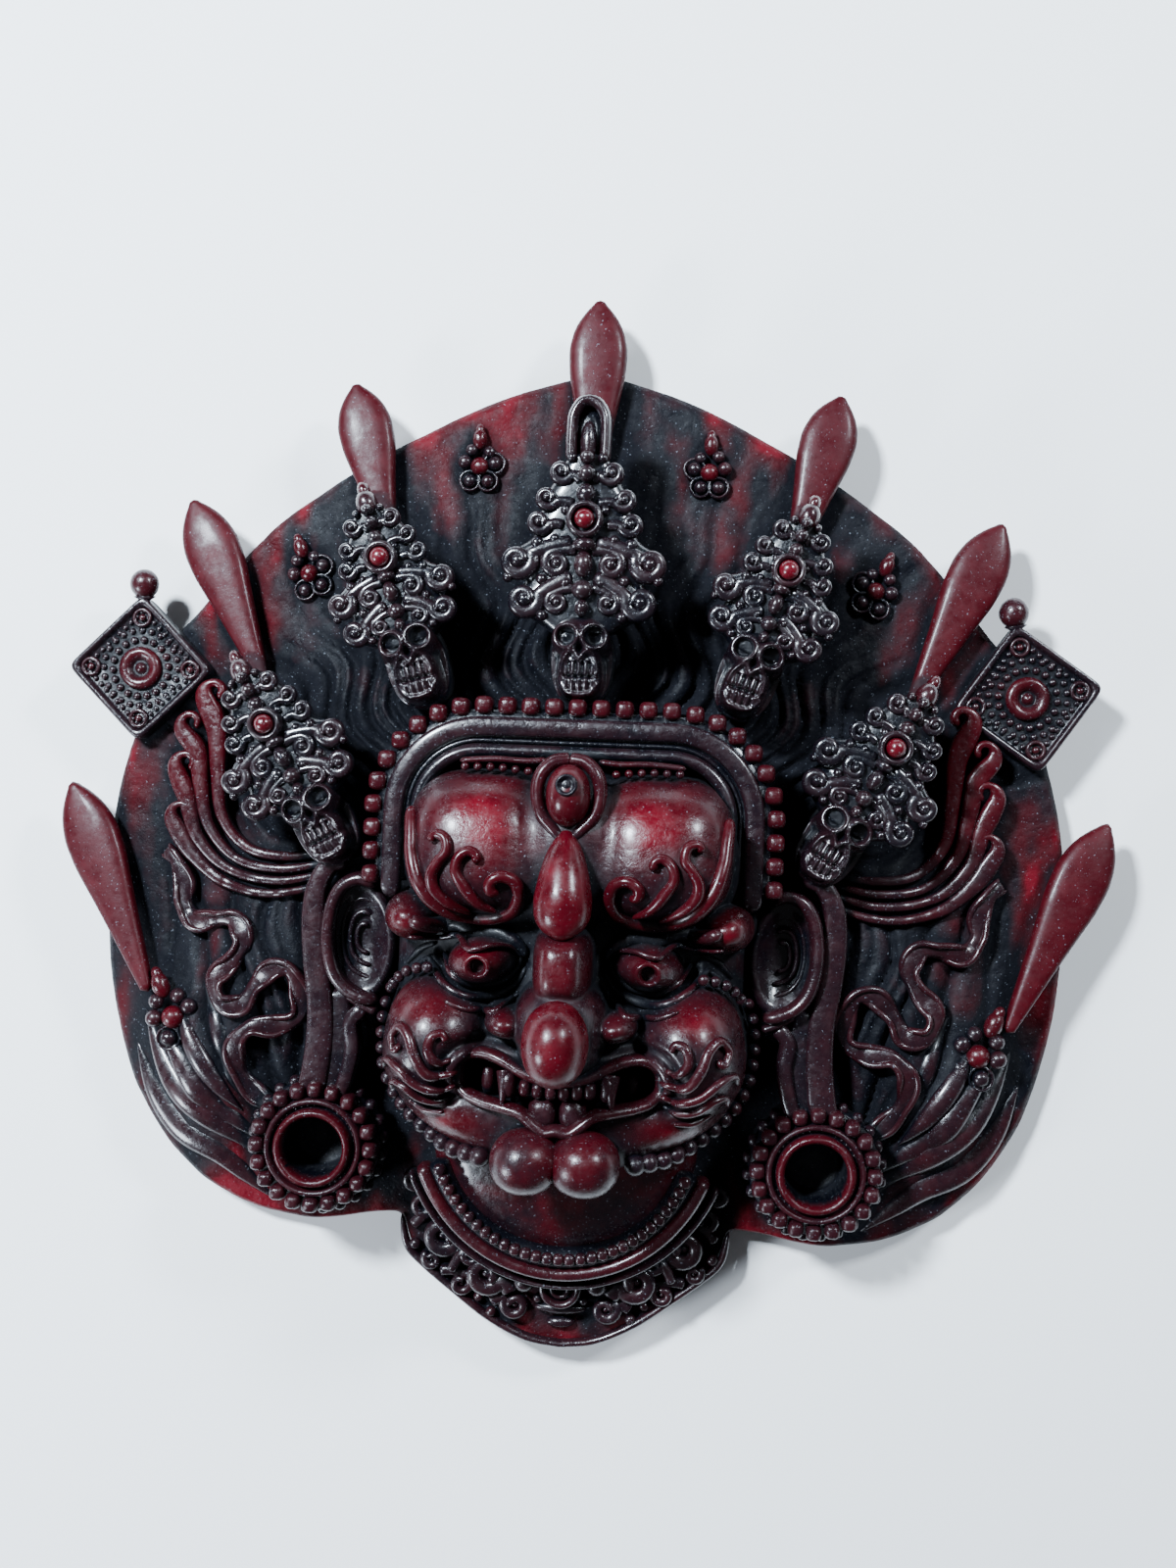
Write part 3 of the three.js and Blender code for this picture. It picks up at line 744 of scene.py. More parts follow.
flower_shapes, flower_rub = [], []
for x, y, turn, grow in ((27.0, 83.5, 0.0, 1.0), (66.5, 57.0, 0.35, 1.0), (93.0, -48.5, 0.4, 1.25)):
    base = float(hair_height(np.array(x), np.array(y))) + 1.0
    c, s = math.cos(turn), math.sin(turn)
    for across, up, size, bare in ((0, 0, 2.2, 0.5), (-3.5, 0.8, 1.7, 0.0), (3.5, 1.0, 1.7, 0.1),
                                   (-2.0, -3.4, 1.6, 0.05), (2.2, -3.4, 1.6, 0.0), (-2.2, 3.4, 1.5, 0.0),
                                   (2.0, 3.8, 1.5, 0.05), (0.2, 6.4, 1.7, 0.4), (0.2, 8.4, 1.1, 0.4)):
        across, up, size = across * grow, up * grow, size * grow
        spot = (x + c * across + s * up, y - s * across + c * up, base + 0.25 * size)
        tall = size * (1.5 if up > 6 else 1.0)
        flower_shapes.append(egg(spot, (size, tall, size), turn=-turn, rows=12, sides=18))
        flower_rub.append(bare)
        if up < 1 and across:
            round_it = ring_of((spot[0], spot[1], base + 0.6), size + 0.7, 16)
            flower_shapes.append(strand(round_it, 0.4, 0.6, sides=8, loop=True))
            flower_rub.append(0.0)
piece("hair_flowers", mirrored(flower_shapes), resin("flower_wax", rub=0.1, reach=0.3, polish=0.25),
      rub=flower_rub * 2)


# ---- Face -------------------------------------------------------------------------------------
# The wrathful face is built as a relief: swelling brow lobes, balled eyes, cheeks and an open
# mouth melt into each other with soft valleys, all carved from the same cast body.

def bulge(x, y, middle, radii, base, top, power=2.0, turn=0.0):
    """Height of an egg half sunk at base: top in its middle, base at its edge, and falling away outside."""
    c, s = math.cos(turn), math.sin(turn)
    u = (c * (x - middle[0]) + s * (y - middle[1])) / radii[0]
    v = (-s * (x - middle[0]) + c * (y - middle[1])) / radii[1]
    inside = 1.0 - np.abs(u) ** power - np.abs(v) ** power
    return base + (top - base) * np.sign(inside) * np.sqrt(np.abs(inside))


def near_line(x, y, path):
    """Distance from every point to a drawn line, over the line's own points."""
    best = np.full(x.shape, 1e9)
    for px, py in path:
        best = np.minimum(best, (x - px) ** 2 + (y - py) ** 2)
    return np.sqrt(best)


# half of each lip's line, as its distances from the middle and its heights on the face
UPPER_LIP = ([0, 4, 7.5, 11, 14, 17, 19.5, 21.4, 22.3, 22.5],
             [-53.4, -53.0, -51.8, -49.9, -48.7, -48.3, -49.0, -50.6, -52.4, -53.6])
LOWER_LIP = ([0, 2.5, 5, 7.5, 11, 16, 19.5, 21.4, 22.3, 22.5],
             [-63.6, -64.4, -62.6, -60.4, -59.6, -58.8, -57.8, -56.2, -54.8, -53.6])


def mouth_hollow(x, y):
    """1 inside the open mouth, 0 outside, from the curves of the two lips."""
    gap = np.minimum(np.interp(x, *UPPER_LIP) - y, y - np.interp(x, *LOWER_LIP))
    return smooth_step(gap, 0.0, 1.6)


# Masses of the face, each an egg: its middle, half sizes, base and top heights, how boxy it is, its turn,
# and how softly it melts into what is there already. The finer ones lie over the broad ones.
BROAD_MASSES = [((0, -7), (38, 18), 30, 48, 2.5, 0.0, 4.0),                 # forehead
                ((0, -57), (27, 16), 30, 48, 2.2, 0.0, 4.0),                # jaw
                ((18, -63), (22, 9.5), 28, 45.5, 2.2, 0.42, 3.0)]           # corners of the jaw
FINE_MASSES = [((34.4, -20.8), (6.4, 5.4), 32, 46.5, 2.2, 0.25, 1.0),       # outer ends of the brows
               ((18.0, -29.2), (7.8, 5.4), 38.5, 50.0, 2.0, -0.2, 1.2),     # eyeballs
               ((27.3, -47.5), (12.6, 15.2), 32, 52.5, 2.3, 0.16, 1.6),     # cheeks
               ((11.6, -41.6), (4.8, 3.5), 45, 55.5, 2.2, 0.2, 1.0),        # wings of the nose
               ((0, -5.0), (13.0, 17.0), 38, 53.0, 2.4, 0.0, 4.5),          # ridge under the third eye
               ((0, -29.0), (6.6, 9.0), 42, 60.0, 3.4, 0.0, 0.8),           # bridge of the nose
               ((0, -41), (10, 8), 40, 52, 2.0, 0.0, 2.0),                  # root of the nose ball
               ((0, -46.5), (21, 8), 38, 48.5, 2.4, 0.0, 2.0),              # upper lip
               ((0, -42.0), (10.5, 11.5), 45, 61.5, 2.0, 0.0, 1.5)]         # seat of the nose ball


def heaped(height, x, y, masses):
    """The height with each mass melted into it in turn."""
    for middle, radii, base, top, power, turn, soft in masses:
        height = melted(height, bulge(x, y, middle, radii, base, top, power, turn), soft)
    return height


def face_height(x, y):
    """The face as one relief: the head and its masses, the forehead lobes, then the folds and the mouth."""
    x = np.abs(x)
    height = heaped(bulge(x, y, (0, -30), (41.5, 47), 12, 43, 2.3), x, y, BROAD_MASSES)
    height -= 3.6 * mound(x, y, (17.5, -29), (11, 6))
    height -= 2.2 * mound(x, y, (12.5, -36.5), (5, 4))
    lobe = bulge(x, y, (19.4, -3.6), (16.2, 15.6), 38, 53.5, 2.9) - 0.17 * (y + 3.5)
    height = heaped(melted(height, lobe, 2.2), x, y, FINE_MASSES)
    cheek_fold = [(9, -46.5), (16, -45.5), (22.5, -47.5), (25.3, -53), (23.5, -58.5)]
    height -= 2.2 * np.exp(-(near_line(x, y, smooth_line(cheek_fold, 40)) / 1.3) ** 2)
    for shift in (0.0, 2.6):
        eye_fold = [(8.6, -27 - shift), (11.5, -32.5 - shift), (17, -35.2 - shift), (24, -33 - shift),
                    (28.5, -28.5 - 0.6 * shift)]
        height -= 1.3 * np.exp(-(near_line(x, y, smooth_line(eye_fold, 40)) / 0.8) ** 2)
    pupil = np.hypot(x - 18.2, y + 30.0)
    height -= 3.0 * (1.0 - smooth_step(pupil, 1.1, 2.0))
    height += 0.7 * np.exp(-((pupil - 2.6) / 0.6) ** 2)
    height -= 13.0 * mouth_hollow(x, y)
    return height


FACE_ROUND = (42.5, 50.0, 48.5)     # half its width, and its reach above and below the head's middle
FACE_STEPS = 600


def face():
    """Rows from the head's middle out over the relief, down into the plate and back over the hollow."""
    way = compass(FACE_STEPS)
    tall = np.where(way[:, 1] > 0, FACE_ROUND[1], FACE_ROUND[2])
    reach = 1.0 / ((np.abs(way[:, 0]) / FACE_ROUND[0]) ** 2.5 + (np.abs(way[:, 1]) / tall) ** 2.5) ** 0.4
    shares = np.concatenate([[0.01], np.linspace(0.03, 1.0, 150)])
    flat = HEAD_MIDDLE + shares[:, None, None] * reach[None, :, None] * way
    top = np.dstack([flat, np.maximum(face_height(flat[..., 0], flat[..., 1]), 9.0)])
    under = HEAD_MIDDLE + 0.97 * reach[:, None] * way
    return skin(np.concatenate([top, np.dstack([under[:, 0], under[:, 1], np.full(FACE_STEPS, 6.0)]),
                                hollow_rows(way, 2, 1.5)]))


# where bare red shows on the face: how much, about where, and how far each way
FACE_RUB = [(0.75, (18, 1), (11, 9)),           # forehead lobes
            (0.35, (0, -29), (6, 6)),           # bridge of the nose
            (0.5, (29, -39.5), (8, 3.5)),       # tops of the cheeks
            (0.5, (25, -64.5), (8, 3.5)),       # jaw
            (0.45, (35.5, -21.5), (4, 6)),      # outer ends of the brows
            (0.35, (18, -28), (5.5, 4)),        # eyeballs
            (0.30, (12, -41.5), (3, 3)),        # wings of the nose
            (-0.15, (14, -35), (12, 4))]        # dark again under the eyes


def face_colour(x, y):
    """Rubbing of the face: a mound of bareness for each row of FACE_RUB, and black inside the mouth."""
    x = np.abs(x)
    bare = sum(strength * mound(x, y, middle, size) for strength, middle, size in FACE_RUB)
    return bare - 0.55 * mouth_hollow(x, y)


face_shape = face()
piece("face", [face_shape], resin("face_wax", rub=0.32, reach=0.14, mottle=0.8, bump=0.4, polish=0.16),
      rub=[face_colour(face_shape[0][:, 0], face_shape[0][:, 1])])


# ---- Brow curls, third eye and nose -----------------------------------------------------------
# Flaming brows sweep round under each forehead lobe in tapering red locks that end in curls, the
# third eye stands upright in a pointed frame, and a heavy drop hangs between the brows.

def laid(points, count, lift, curl=None):
    """A line through flat points, with an optional curl at its end, laid on the face's relief."""
    run = smooth_line(points, count)
    if curl:
        length, bends = curl
        run = np.vstack([run, scroll(run[-1], heading_of(run), length, bends, count)[1:]])
    height = blur_line(face_height(run[:, 0], run[:, 1]), 7)
    return lifted(run, height + lift)


def lock_on_face(points, half, tall, lift=0.2, curl=None, taper=(0.35, 1.0, 0.75), count=48):
    """A tapering lock on the face; taper gives its width at the start, the middle and the end."""
    line = laid(points, count, lift, curl)
    share = np.linspace(0, 1, len(line))
    width = half * np.interp(share, np.linspace(0, 1, len(taper)), taper)
    return strand(line, width, tall * (0.55 + 0.45 * width / half), sides=14, square=0.85, ends=0.05)


brow_shapes = [
    lock_on_face([(34.2, 3.4), (33.6, -2.0), (33.0, -6.6), (31.0, -12.4), (26.8, -17.0), (20.8, -19.4),
                  (15.3, -19.4), (11.2, -17.6), (9.6, -14.2), (10.6, -11.2), (13.2, -10.2), (15.4, -11.4),
                  (15.4, -13.4), (13.6, -13.9)],
                 1.55, 2.6, taper=(0.95, 1.0, 1.1, 1.25, 1.3, 1.2, 1.0, 0.9, 0.8), count=110),
    lock_on_face([(20.4, -18.6), (24.8, -16.2), (27.5, -13.4), (28.0, -10.4), (26.6, -7.6), (25.0, -5.4),
                  (25.4, -2.8), (27.4, -2.0), (28.8, -3.6)],
                 1.2, 2.3, taper=(0.4, 1.1, 1.2, 1.0, 1.0, 0.9), count=80),
    lock_on_face([(14.8, -18.0), (17.4, -16.6), (19.4, -14.8), (21.2, -12.4), (22.8, -9.6), (22.4, -6.8),
                  (20.4, -5.2), (18.6, -6.0), (18.6, -7.8)],
                 1.15, 2.2, taper=(0.4, 1.1, 1.2, 1.0, 1.0, 0.9), count=80),
]
piece("brow_curls", mirrored(brow_shapes), resin("brow_red", rub=0.54, reach=0.25, mottle=0.35, bump=0.12))

eyeball = egg((0, 7.2, 52.0), (4.7, 6.6, 6.6), power=2.1)
frame_line = smooth_line([(0, 14.9), (3.4, 14.2), (6.0, 11.4), (6.6, 7.4), (5.6, 3.2), (3.2, 0.4),
                          (1.2, -2.0), (0.2, -5.0)], 70)
frame_height = np.interp(np.linspace(0, 1, 70), [0, 0.25, 0.8, 1], [49.6, 50.6, 51.2, 50.4])
eye_frame = strand(lifted(frame_line, frame_height), 1.5, 2.4, sides=14, ends=0.02)
eye_red = resin("eye_red", rub=0.42, reach=0.2, mottle=0.3, bump=0.2, polish=0.16)
piece("third_eye", [eyeball] + mirrored([eye_frame]), eye_red, rub=[0.22, 0.0, 0.0])
pit = turned([(0.01, -1.5), (2.3, -1.5), (2.3, 0.5), (2.0, 0.9), (1.7, 0.7), (1.45, 0.1), (0.9, -0.1),
              (0.5, 0.25), (0.02, 0.35)], 32)
piece("third_eye_pupil", [moved(pit, (0, 9.4, 58.4))], resin("pupil_grey", rub=0.05, reach=0.1, mottle=0.2))

drop_path = smooth_line([(0, -0.6, 51.0), (0, -9.0, 54.2), (0, -16.5, 55.6), (0, -22.4, 54.4)], 60)
drop_share = np.linspace(0, 1, 60)
drop_width = np.interp(drop_share, [0, 0.08, 0.2, 0.4, 0.64, 0.82, 0.92, 0.97, 1],
                       [1.0, 2.6, 3.9, 5.2, 6.2, 5.9, 4.4, 2.8, 0.8])
drop_width = blur_line(blur_line(drop_width, 5), 5)
drop = strand(drop_path, drop_width, 1.4 + 0.80 * drop_width, sides=32, ends=0.02)
nose_shapes = [drop, egg((0, -43.6, 61.6), (6.9, 8.9, 9.8), power=2.1)]
piece("nose_and_drop", nose_shapes,
      resin("polished_red", rub=0.80, reach=0.06, mottle=0.6, bump=0.15, polish=0.08))


# ---- Eyes, cheeks and mouth -------------------------------------------------------------------
# Heavy lids wave over the eyeballs, small flames curl on the cheeks, and a rolled lip frames the
# teeth: six small ones and two fangs above, two broad ones below.

# the swollen upper lid and the crease in it, the lower lid and the fold under it, and three small wrinkles
lid_shapes = [
    lock_on_face([(8.6, -28.2), (10.2, -25.4), (14.6, -23.2), (19.4, -23.6), (23.8, -21.6), (28.8, -22.2),
                  (33.5, -20.8)], 1.75, 2.2, lift=0.7, taper=(0.5, 0.9, 1.0, 1.0, 1.1, 1.0, 0.8)),
    lock_on_face([(9.2, -28.2), (11.6, -25.8), (15.2, -25.2), (19.9, -26.2), (23.6, -24.4), (28.4, -25.2),
                  (34, -24.6)], 0.7, 1.3, lift=1.9, taper=(0.5, 1.0, 1.0, 0.6)),
    lock_on_face([(9.4, -27.4), (10.8, -31.0), (14.4, -33.8), (19.6, -34.6), (24.2, -32.2), (27.4, -28.4)],
                 0.95, 1.5, lift=0.7, taper=(0.6, 1.0, 1.0, 0.6)),
    lock_on_face([(8.4, -30.2), (10.6, -34.0), (15.4, -36.8), (21.4, -36.8), (27.0, -33.8), (31.4, -29.6)],
                 1.05, 1.5, lift=0.3, taper=(0.5, 1.0, 1.0, 0.6)),
    lock_on_face([(9.6, -36.0), (14.8, -39.2), (20.4, -39.2), (25.0, -37.4)], 0.9, 1.2, lift=0.0,
                 taper=(0.5, 1.0, 0.5)),
    lock_on_face([(29.2, -26.6), (33.0, -28.4), (36.6, -32.0)], 0.9, 1.2, lift=0.1, taper=(0.5, 1.0, 0.5)),
    lock_on_face([(30.4, -29.6), (33.4, -32.0), (34.6, -35.0)], 0.8, 1.1, lift=0.1, taper=(0.5, 1.0, 0.5)),
]
piece("eyelids", mirrored(lid_shapes), resin("lid_wax", rub=0.24, reach=0.4, mottle=0.5, polish=0.3))

cheek_shapes = [
    lock_on_face([(22.0, -52.6), (27.0, -53.0), (29.9, -49.4), (31.6, -45.0), (33.8, -43.2), (35.8, -45.4),
                  (34.8, -48.0), (33.2, -46.8)], 1.2, 1.9, taper=(0.5, 1.0, 1.1, 1.0, 0.9, 0.7), count=70),
    lock_on_face([(22.6, -49.6), (25.2, -50.2), (27.3, -47.8), (26.8, -44.8), (24.6, -43.9), (23.6, -45.6)],
                 1.1, 1.7, taper=(0.5, 1.0, 1.0, 0.7), count=60),
    lock_on_face([(21.8, -55.4), (25.5, -56.6), (30.0, -55.2), (34.0, -52.0), (37.0, -50.8), (38.2, -52.6)],
                 1.1, 1.7, taper=(0.5, 1.0, 1.0, 0.6), count=60),
    lock_on_face([(22.2, -58.2), (25.6, -59.4), (29.6, -58.6), (32.8, -56.2), (35.4, -55.6), (36.2, -57.2)],
                 1.0, 1.6, taper=(0.5, 1.0, 1.0, 0.6), count=60),
    lock_on_face([(24.5, -61.8), (29.0, -61.8), (32.8, -60.0)], 0.9, 1.3, taper=(0.5, 1.0, 0.5)),
]
piece("cheek_flames", mirrored(cheek_shapes), resin("cheek_wax", rub=0.3, reach=0.4, mottle=0.5, polish=0.3))

lip_x = np.concatenate([np.linspace(0, 22.5, 90), np.linspace(22.5, 0, 90)[1:]])
lip_y = np.concatenate([np.interp(lip_x[:90], *UPPER_LIP), np.interp(lip_x[90:], *LOWER_LIP)])
half_lip = np.column_stack([lip_x, lip_y])
whole_lip = np.vstack([half_lip, (half_lip * [-1, 1])[::-1][1:-1]])
whole_lip = np.mean([np.roll(whole_lip, step, 0) for step in range(-4, 5)], 0)
whole_lip = evenly(np.vstack([whole_lip, whole_lip[:1]]), 200, endpoint=False)
lip_height = 49.0 - 0.012 * whole_lip[:, 0] ** 2
lips = strand(lifted(whole_lip, lip_height), 1.45, 2.8, sides=14, loop=True)
piece("lips", [lips], resin("lip_wax", rub=0.30, reach=0.3, mottle=0.6, polish=0.3))

teeth = []
for x in (1.4, 4.2, 6.9):
    teeth.append(egg((x, -55.6 + 0.09 * x, 47.4), (1.35, 2.0, 3.6), rows=12, sides=18, power=2.8))
for x, y, half_wide, half_tall, z in ((10.6, -54.4, 1.8, 3.2, 47.0), (3.3, -60.4, 3.0, 3.6, 46.0),
                                      (15.6, -54.6, 1.6, 3.6, 40.0), (8.8, -58.6, 1.6, 2.2, 43.0)):
    teeth.append(egg((x, y, z), (half_wide, half_tall, 3.6), rows=14, sides=20, power=2.6))
fang = strand(smooth_line([(11.4, -51.6, 48.0), (11.4, -56.0, 49.4), (11.8, -59.6, 48.8)], 24),
              np.linspace(1.9, 0.3, 24), np.linspace(2.1, 0.5, 24), sides=12, ends=0.05)
piece("teeth", mirrored(teeth + [fang]), resin("tooth_wax", rub=0.18, reach=0.35, mottle=0.4))


# ---- Chin and beard ---------------------------------------------------------------------------
# The chin is a pair of polished balls, and the beard is a row of knobs that runs up round the jaw
# to the temples.

chin = [egg((6.3, -70.6, 48.6), (7.6, 7.0, 8.4), power=2.15)]
piece("chin", mirrored(chin), resin("chin_red", rub=0.50, reach=0.1, mottle=1.3, bump=0.3, polish=0.10))

beard_line = smooth_line([(16.8, -71.6, 42.0), (24, -70.6, 38), (29, -68.2, 34.5), (34, -64.8, 32),
                          (38.4, -60.4, 29), (41.0, -55.0, 28), (42.0, -49, 26), (41.8, -43, 26),
                          (40.4, -38, 26)], 16)
beard_size = np.interp(np.linspace(0, 1, 16), [0, 0.4, 1], [2.4, 1.8, 1.3])
beard = pearls(beard_line, beard_size, height=1.15, sides=18, rows=10)
small_line = smooth_line([(38.4, -36.0, 34), (36.0, -33.4, 37), (33.0, -32, 39), (30, -31.4, 41)], 5)
piece("beard_knobs", mirrored([beard, pearls(small_line, 1.3)]),
      resin("knob_wax", rub=0.12, reach=0.3, mottle=0.8))


# ---- Brow arch --------------------------------------------------------------------------------
# A headband arches over the brow: two smooth fillets with a groove between, a row of pegs outside
# them with red rubbed caps, and a small row of pearls under a thin ledge inside.

ARCH = {"half_width": 44.8, "top": 26.6, "corner": 24.0, "foot": -12.0}


def arch_line(inset, count, foot=ARCH["foot"]):
    """Up the side, round the corner and along the top, then down again, moved inwards by the inset."""
    wide, top, corner = (ARCH[key] - inset for key in ("half_width", "top", "corner"))
    turn = np.linspace(0, math.pi / 2, 24)
    bend = np.column_stack([wide - corner + corner * np.cos(turn), top - corner + corner * np.sin(turn)])
    half = np.vstack([[(wide, foot)], bend, [(0.0, top)]])
    return evenly(np.vstack([half, (half * [-1, 1])[::-1][1:]]), count)


wall = strand(lifted(arch_line(4.6, 200, foot=-14), 21.0), 4.4, 13.6, sides=20, square=0.45, ends=0.01)
outer_fillet = strand(lifted(arch_line(4.9, 200, foot=-17), 33.8), 2.2, 2.4, sides=16, square=0.5, ends=0.02)
step = strand(lifted(arch_line(8.0, 200, foot=-10), 33.0), 0.8, 1.8, sides=12, ends=0.02)
inner_fillet = strand(lifted(arch_line(10.2, 200, foot=-2), 34.6), 1.5, 2.8, sides=16, square=0.8, ends=0.02)
piece("arch_band", [wall, outer_fillet, step, inner_fillet],
      resin("band_wax", rub=-0.06, reach=0.30, mottle=0.5, polish=0.5), rub=[-0.25, 0.14, -0.05, 0.1])

pegs = arch_line(0.2, 29)
peg_shape = pearls(lifted(pegs, 32.8), 2.05, height=1.6, sides=16, rows=9, power=3.2)
stem_shape = pearls(lifted(pegs, 29.5), 2.0, height=1.3, sides=12, rows=5, power=3.0)
piece("arch_pegs", [peg_shape, stem_shape], resin("peg_red", rub=0.26, reach=0.35, mottle=0.3),
      rub=[0.12, -0.4])

ledge_line = smooth_line([(5.5, 14.6), (10, 14.2), (17, 14.4), (24.5, 13.8)], 40)
ledge = strand(lifted(ledge_line, 42.5), 0.7, 1.4, sides=10)
small_pearls = pearls(lifted(smooth_line([(9.5, 12.0), (16, 12.6), (23.2, 12.6)], 6), 43.0), 0.95, height=1.2)
piece("brow_ledge", mirrored([ledge, small_pearls]), resin("ledge_wax", rub=0.28, reach=0.4))


# ---- Crown ------------------------------------------------------------------------------------
# Five openwork leaves stand over the headband, each rising from a small skull: a tall one in the
# middle and two pairs leaning outwards. Scrolls, pearls and a polished jewel are cast on each leaf.

SKULL_STEPS = 120
SKULL_LIP = [(0, 9.3), (1.3, 10.7), (2.8, 10.3), (3.9, 8.5), (4.3, 6.4)]


def skull_height(x, y):
    """A little skull as a relief: ringed eye holes, a lip like an M, and two rows of long teeth."""
    x = np.abs(x)
    height = melted(bulge(x, y, (0, 14.0), (6.8, 5.4), 0, 6.4),
                    bulge(x, y, (0, 6.4), (5.0, 6.3), 0, 5.4, 2.6), 1.5)
    hole = np.hypot(x - 3.2, y - 14.2)
    inside = 1.0 - smooth_step(hole, 1.6, 2.3)
    height = height * (1 - inside) + (2.6 + 0.5 * np.exp(-(hole / 0.8) ** 2)) * inside
    height += 1.4 * np.exp(-((hole - 2.75) / 0.6) ** 2)
    height -= 1.6 * np.exp(-(x / 0.6) ** 2 - ((y - 11.6) / 0.9) ** 2)
    height += 1.6 * np.exp(-(near_line(x, y, smooth_line(SKULL_LIP, 26)) / 0.7) ** 2)
    mouth = (1.0 - smooth_step(x, 3.0, 3.7)) * smooth_step(y, 1.6, 2.2) * (1.0 - smooth_step(y, 8.4, 9.0))
    height += mouth * (1.2 * np.abs(np.cos(math.pi * x / 1.5)) ** 0.7 - 1.3)
    height -= 1.2 * mouth * np.exp(-((y - 5.4) / 0.4) ** 2)
    jaw = np.exp(-((np.hypot(x, 0.95 * (y - 6.4)) - 5.0) / 0.6) ** 2)
    height += 0.9 * jaw * (1.0 - smooth_step(y, 4.0, 6.0))
    return height


def skull():
    """The skull's relief carried on rings about its own middle, closed underneath."""
    way = compass(SKULL_STEPS)
    reach = 1.0 / ((np.abs(way[:, 0]) / 6.8) ** 2.4 + (np.abs(way[:, 1]) / 10.4) ** 2.4) ** (1 / 2.4)
    shares = np.concatenate([[0.02], np.linspace(0.05, 1, 46)])
    flat = np.array([0, 9.6]) + shares[:, None, None] * (reach[None, :, None] * way)
    top = np.dstack([flat, 30.5 + np.maximum(skull_height(flat[..., 0], flat[..., 1]), -3.0)])
    under = np.dstack([flat[-1][:, 0], flat[-1][:, 1], np.full(SKULL_STEPS, 17.0)])
    return skin(np.concatenate([top, under]))


def volute(middle, size, start, turns=1.15, tail=None, height=33.3, side=1):
    """A spiral that closes in on its middle from a start angle in degrees, with an optional tail before."""
    share = np.linspace(0, 1, 22)
    way = np.radians(start) + side * share * turns * 2 * math.pi
    reach = size * (1.0 - 0.62 * share)
    line = np.stack([middle[0] + reach * np.cos(way), middle[1] + reach * np.sin(way)], -1)
    if tail is not None:
        tail = np.asarray(tail, float)
        between = 0.5 * (line[0] + tail) + [0, 0.15 * size]
        line = np.vstack([smooth_line([tail, between, line[0]], 10)[:-1], line])
    rise = height + 0.9 * np.linspace(0, 1, len(line)) ** 2
    width = size * 0.45 * np.interp(np.linspace(0, 1, len(line)), [0, 0.3, 0.6, 1], [1.25, 1.2, 0.95, 0.8])
    return strand(lifted(line, rise), width, 1.2 + 0.22 * size, sides=10, square=0.8, ends=0.04)


LEAF = [(14.5, 6.0), (17, 9.5), (19.5, 14.0), (22, 16.0), (24.5, 15.0), (26.5, 12.6), (28.5, 15.6),
        (31, 17.6), (33.5, 16.0), (35.5, 12.4), (37.5, 11.0), (39.5, 12.0), (41.5, 10.6), (43.5, 9.4),
        (45.5, 9.8), (47.5, 8.2), (49.5, 7.2), (51.5, 6.4), (53.5, 4.8), (55, 3.6)]
SCROLLS = [((14.6, 30.5), 3.4, 150, (2.0, 35.0), 1), ((12.8, 22.0), 3.3, 160, (2.0, 27.6), 1),
           ((10.2, 39.2), 2.3, 190, (4.6, 38.6), 1), ((8.6, 44.6), 2.2, 200, (2.4, 43.4), 1),
           ((5.6, 50.4), 2.3, 190, (1.2, 48.4), 1), ((6.0, 30.2), 2.7, 70, (1.2, 33.2), -1),
           ((5.6, 21.6), 2.2, 40, (1.6, 25.0), -1)]


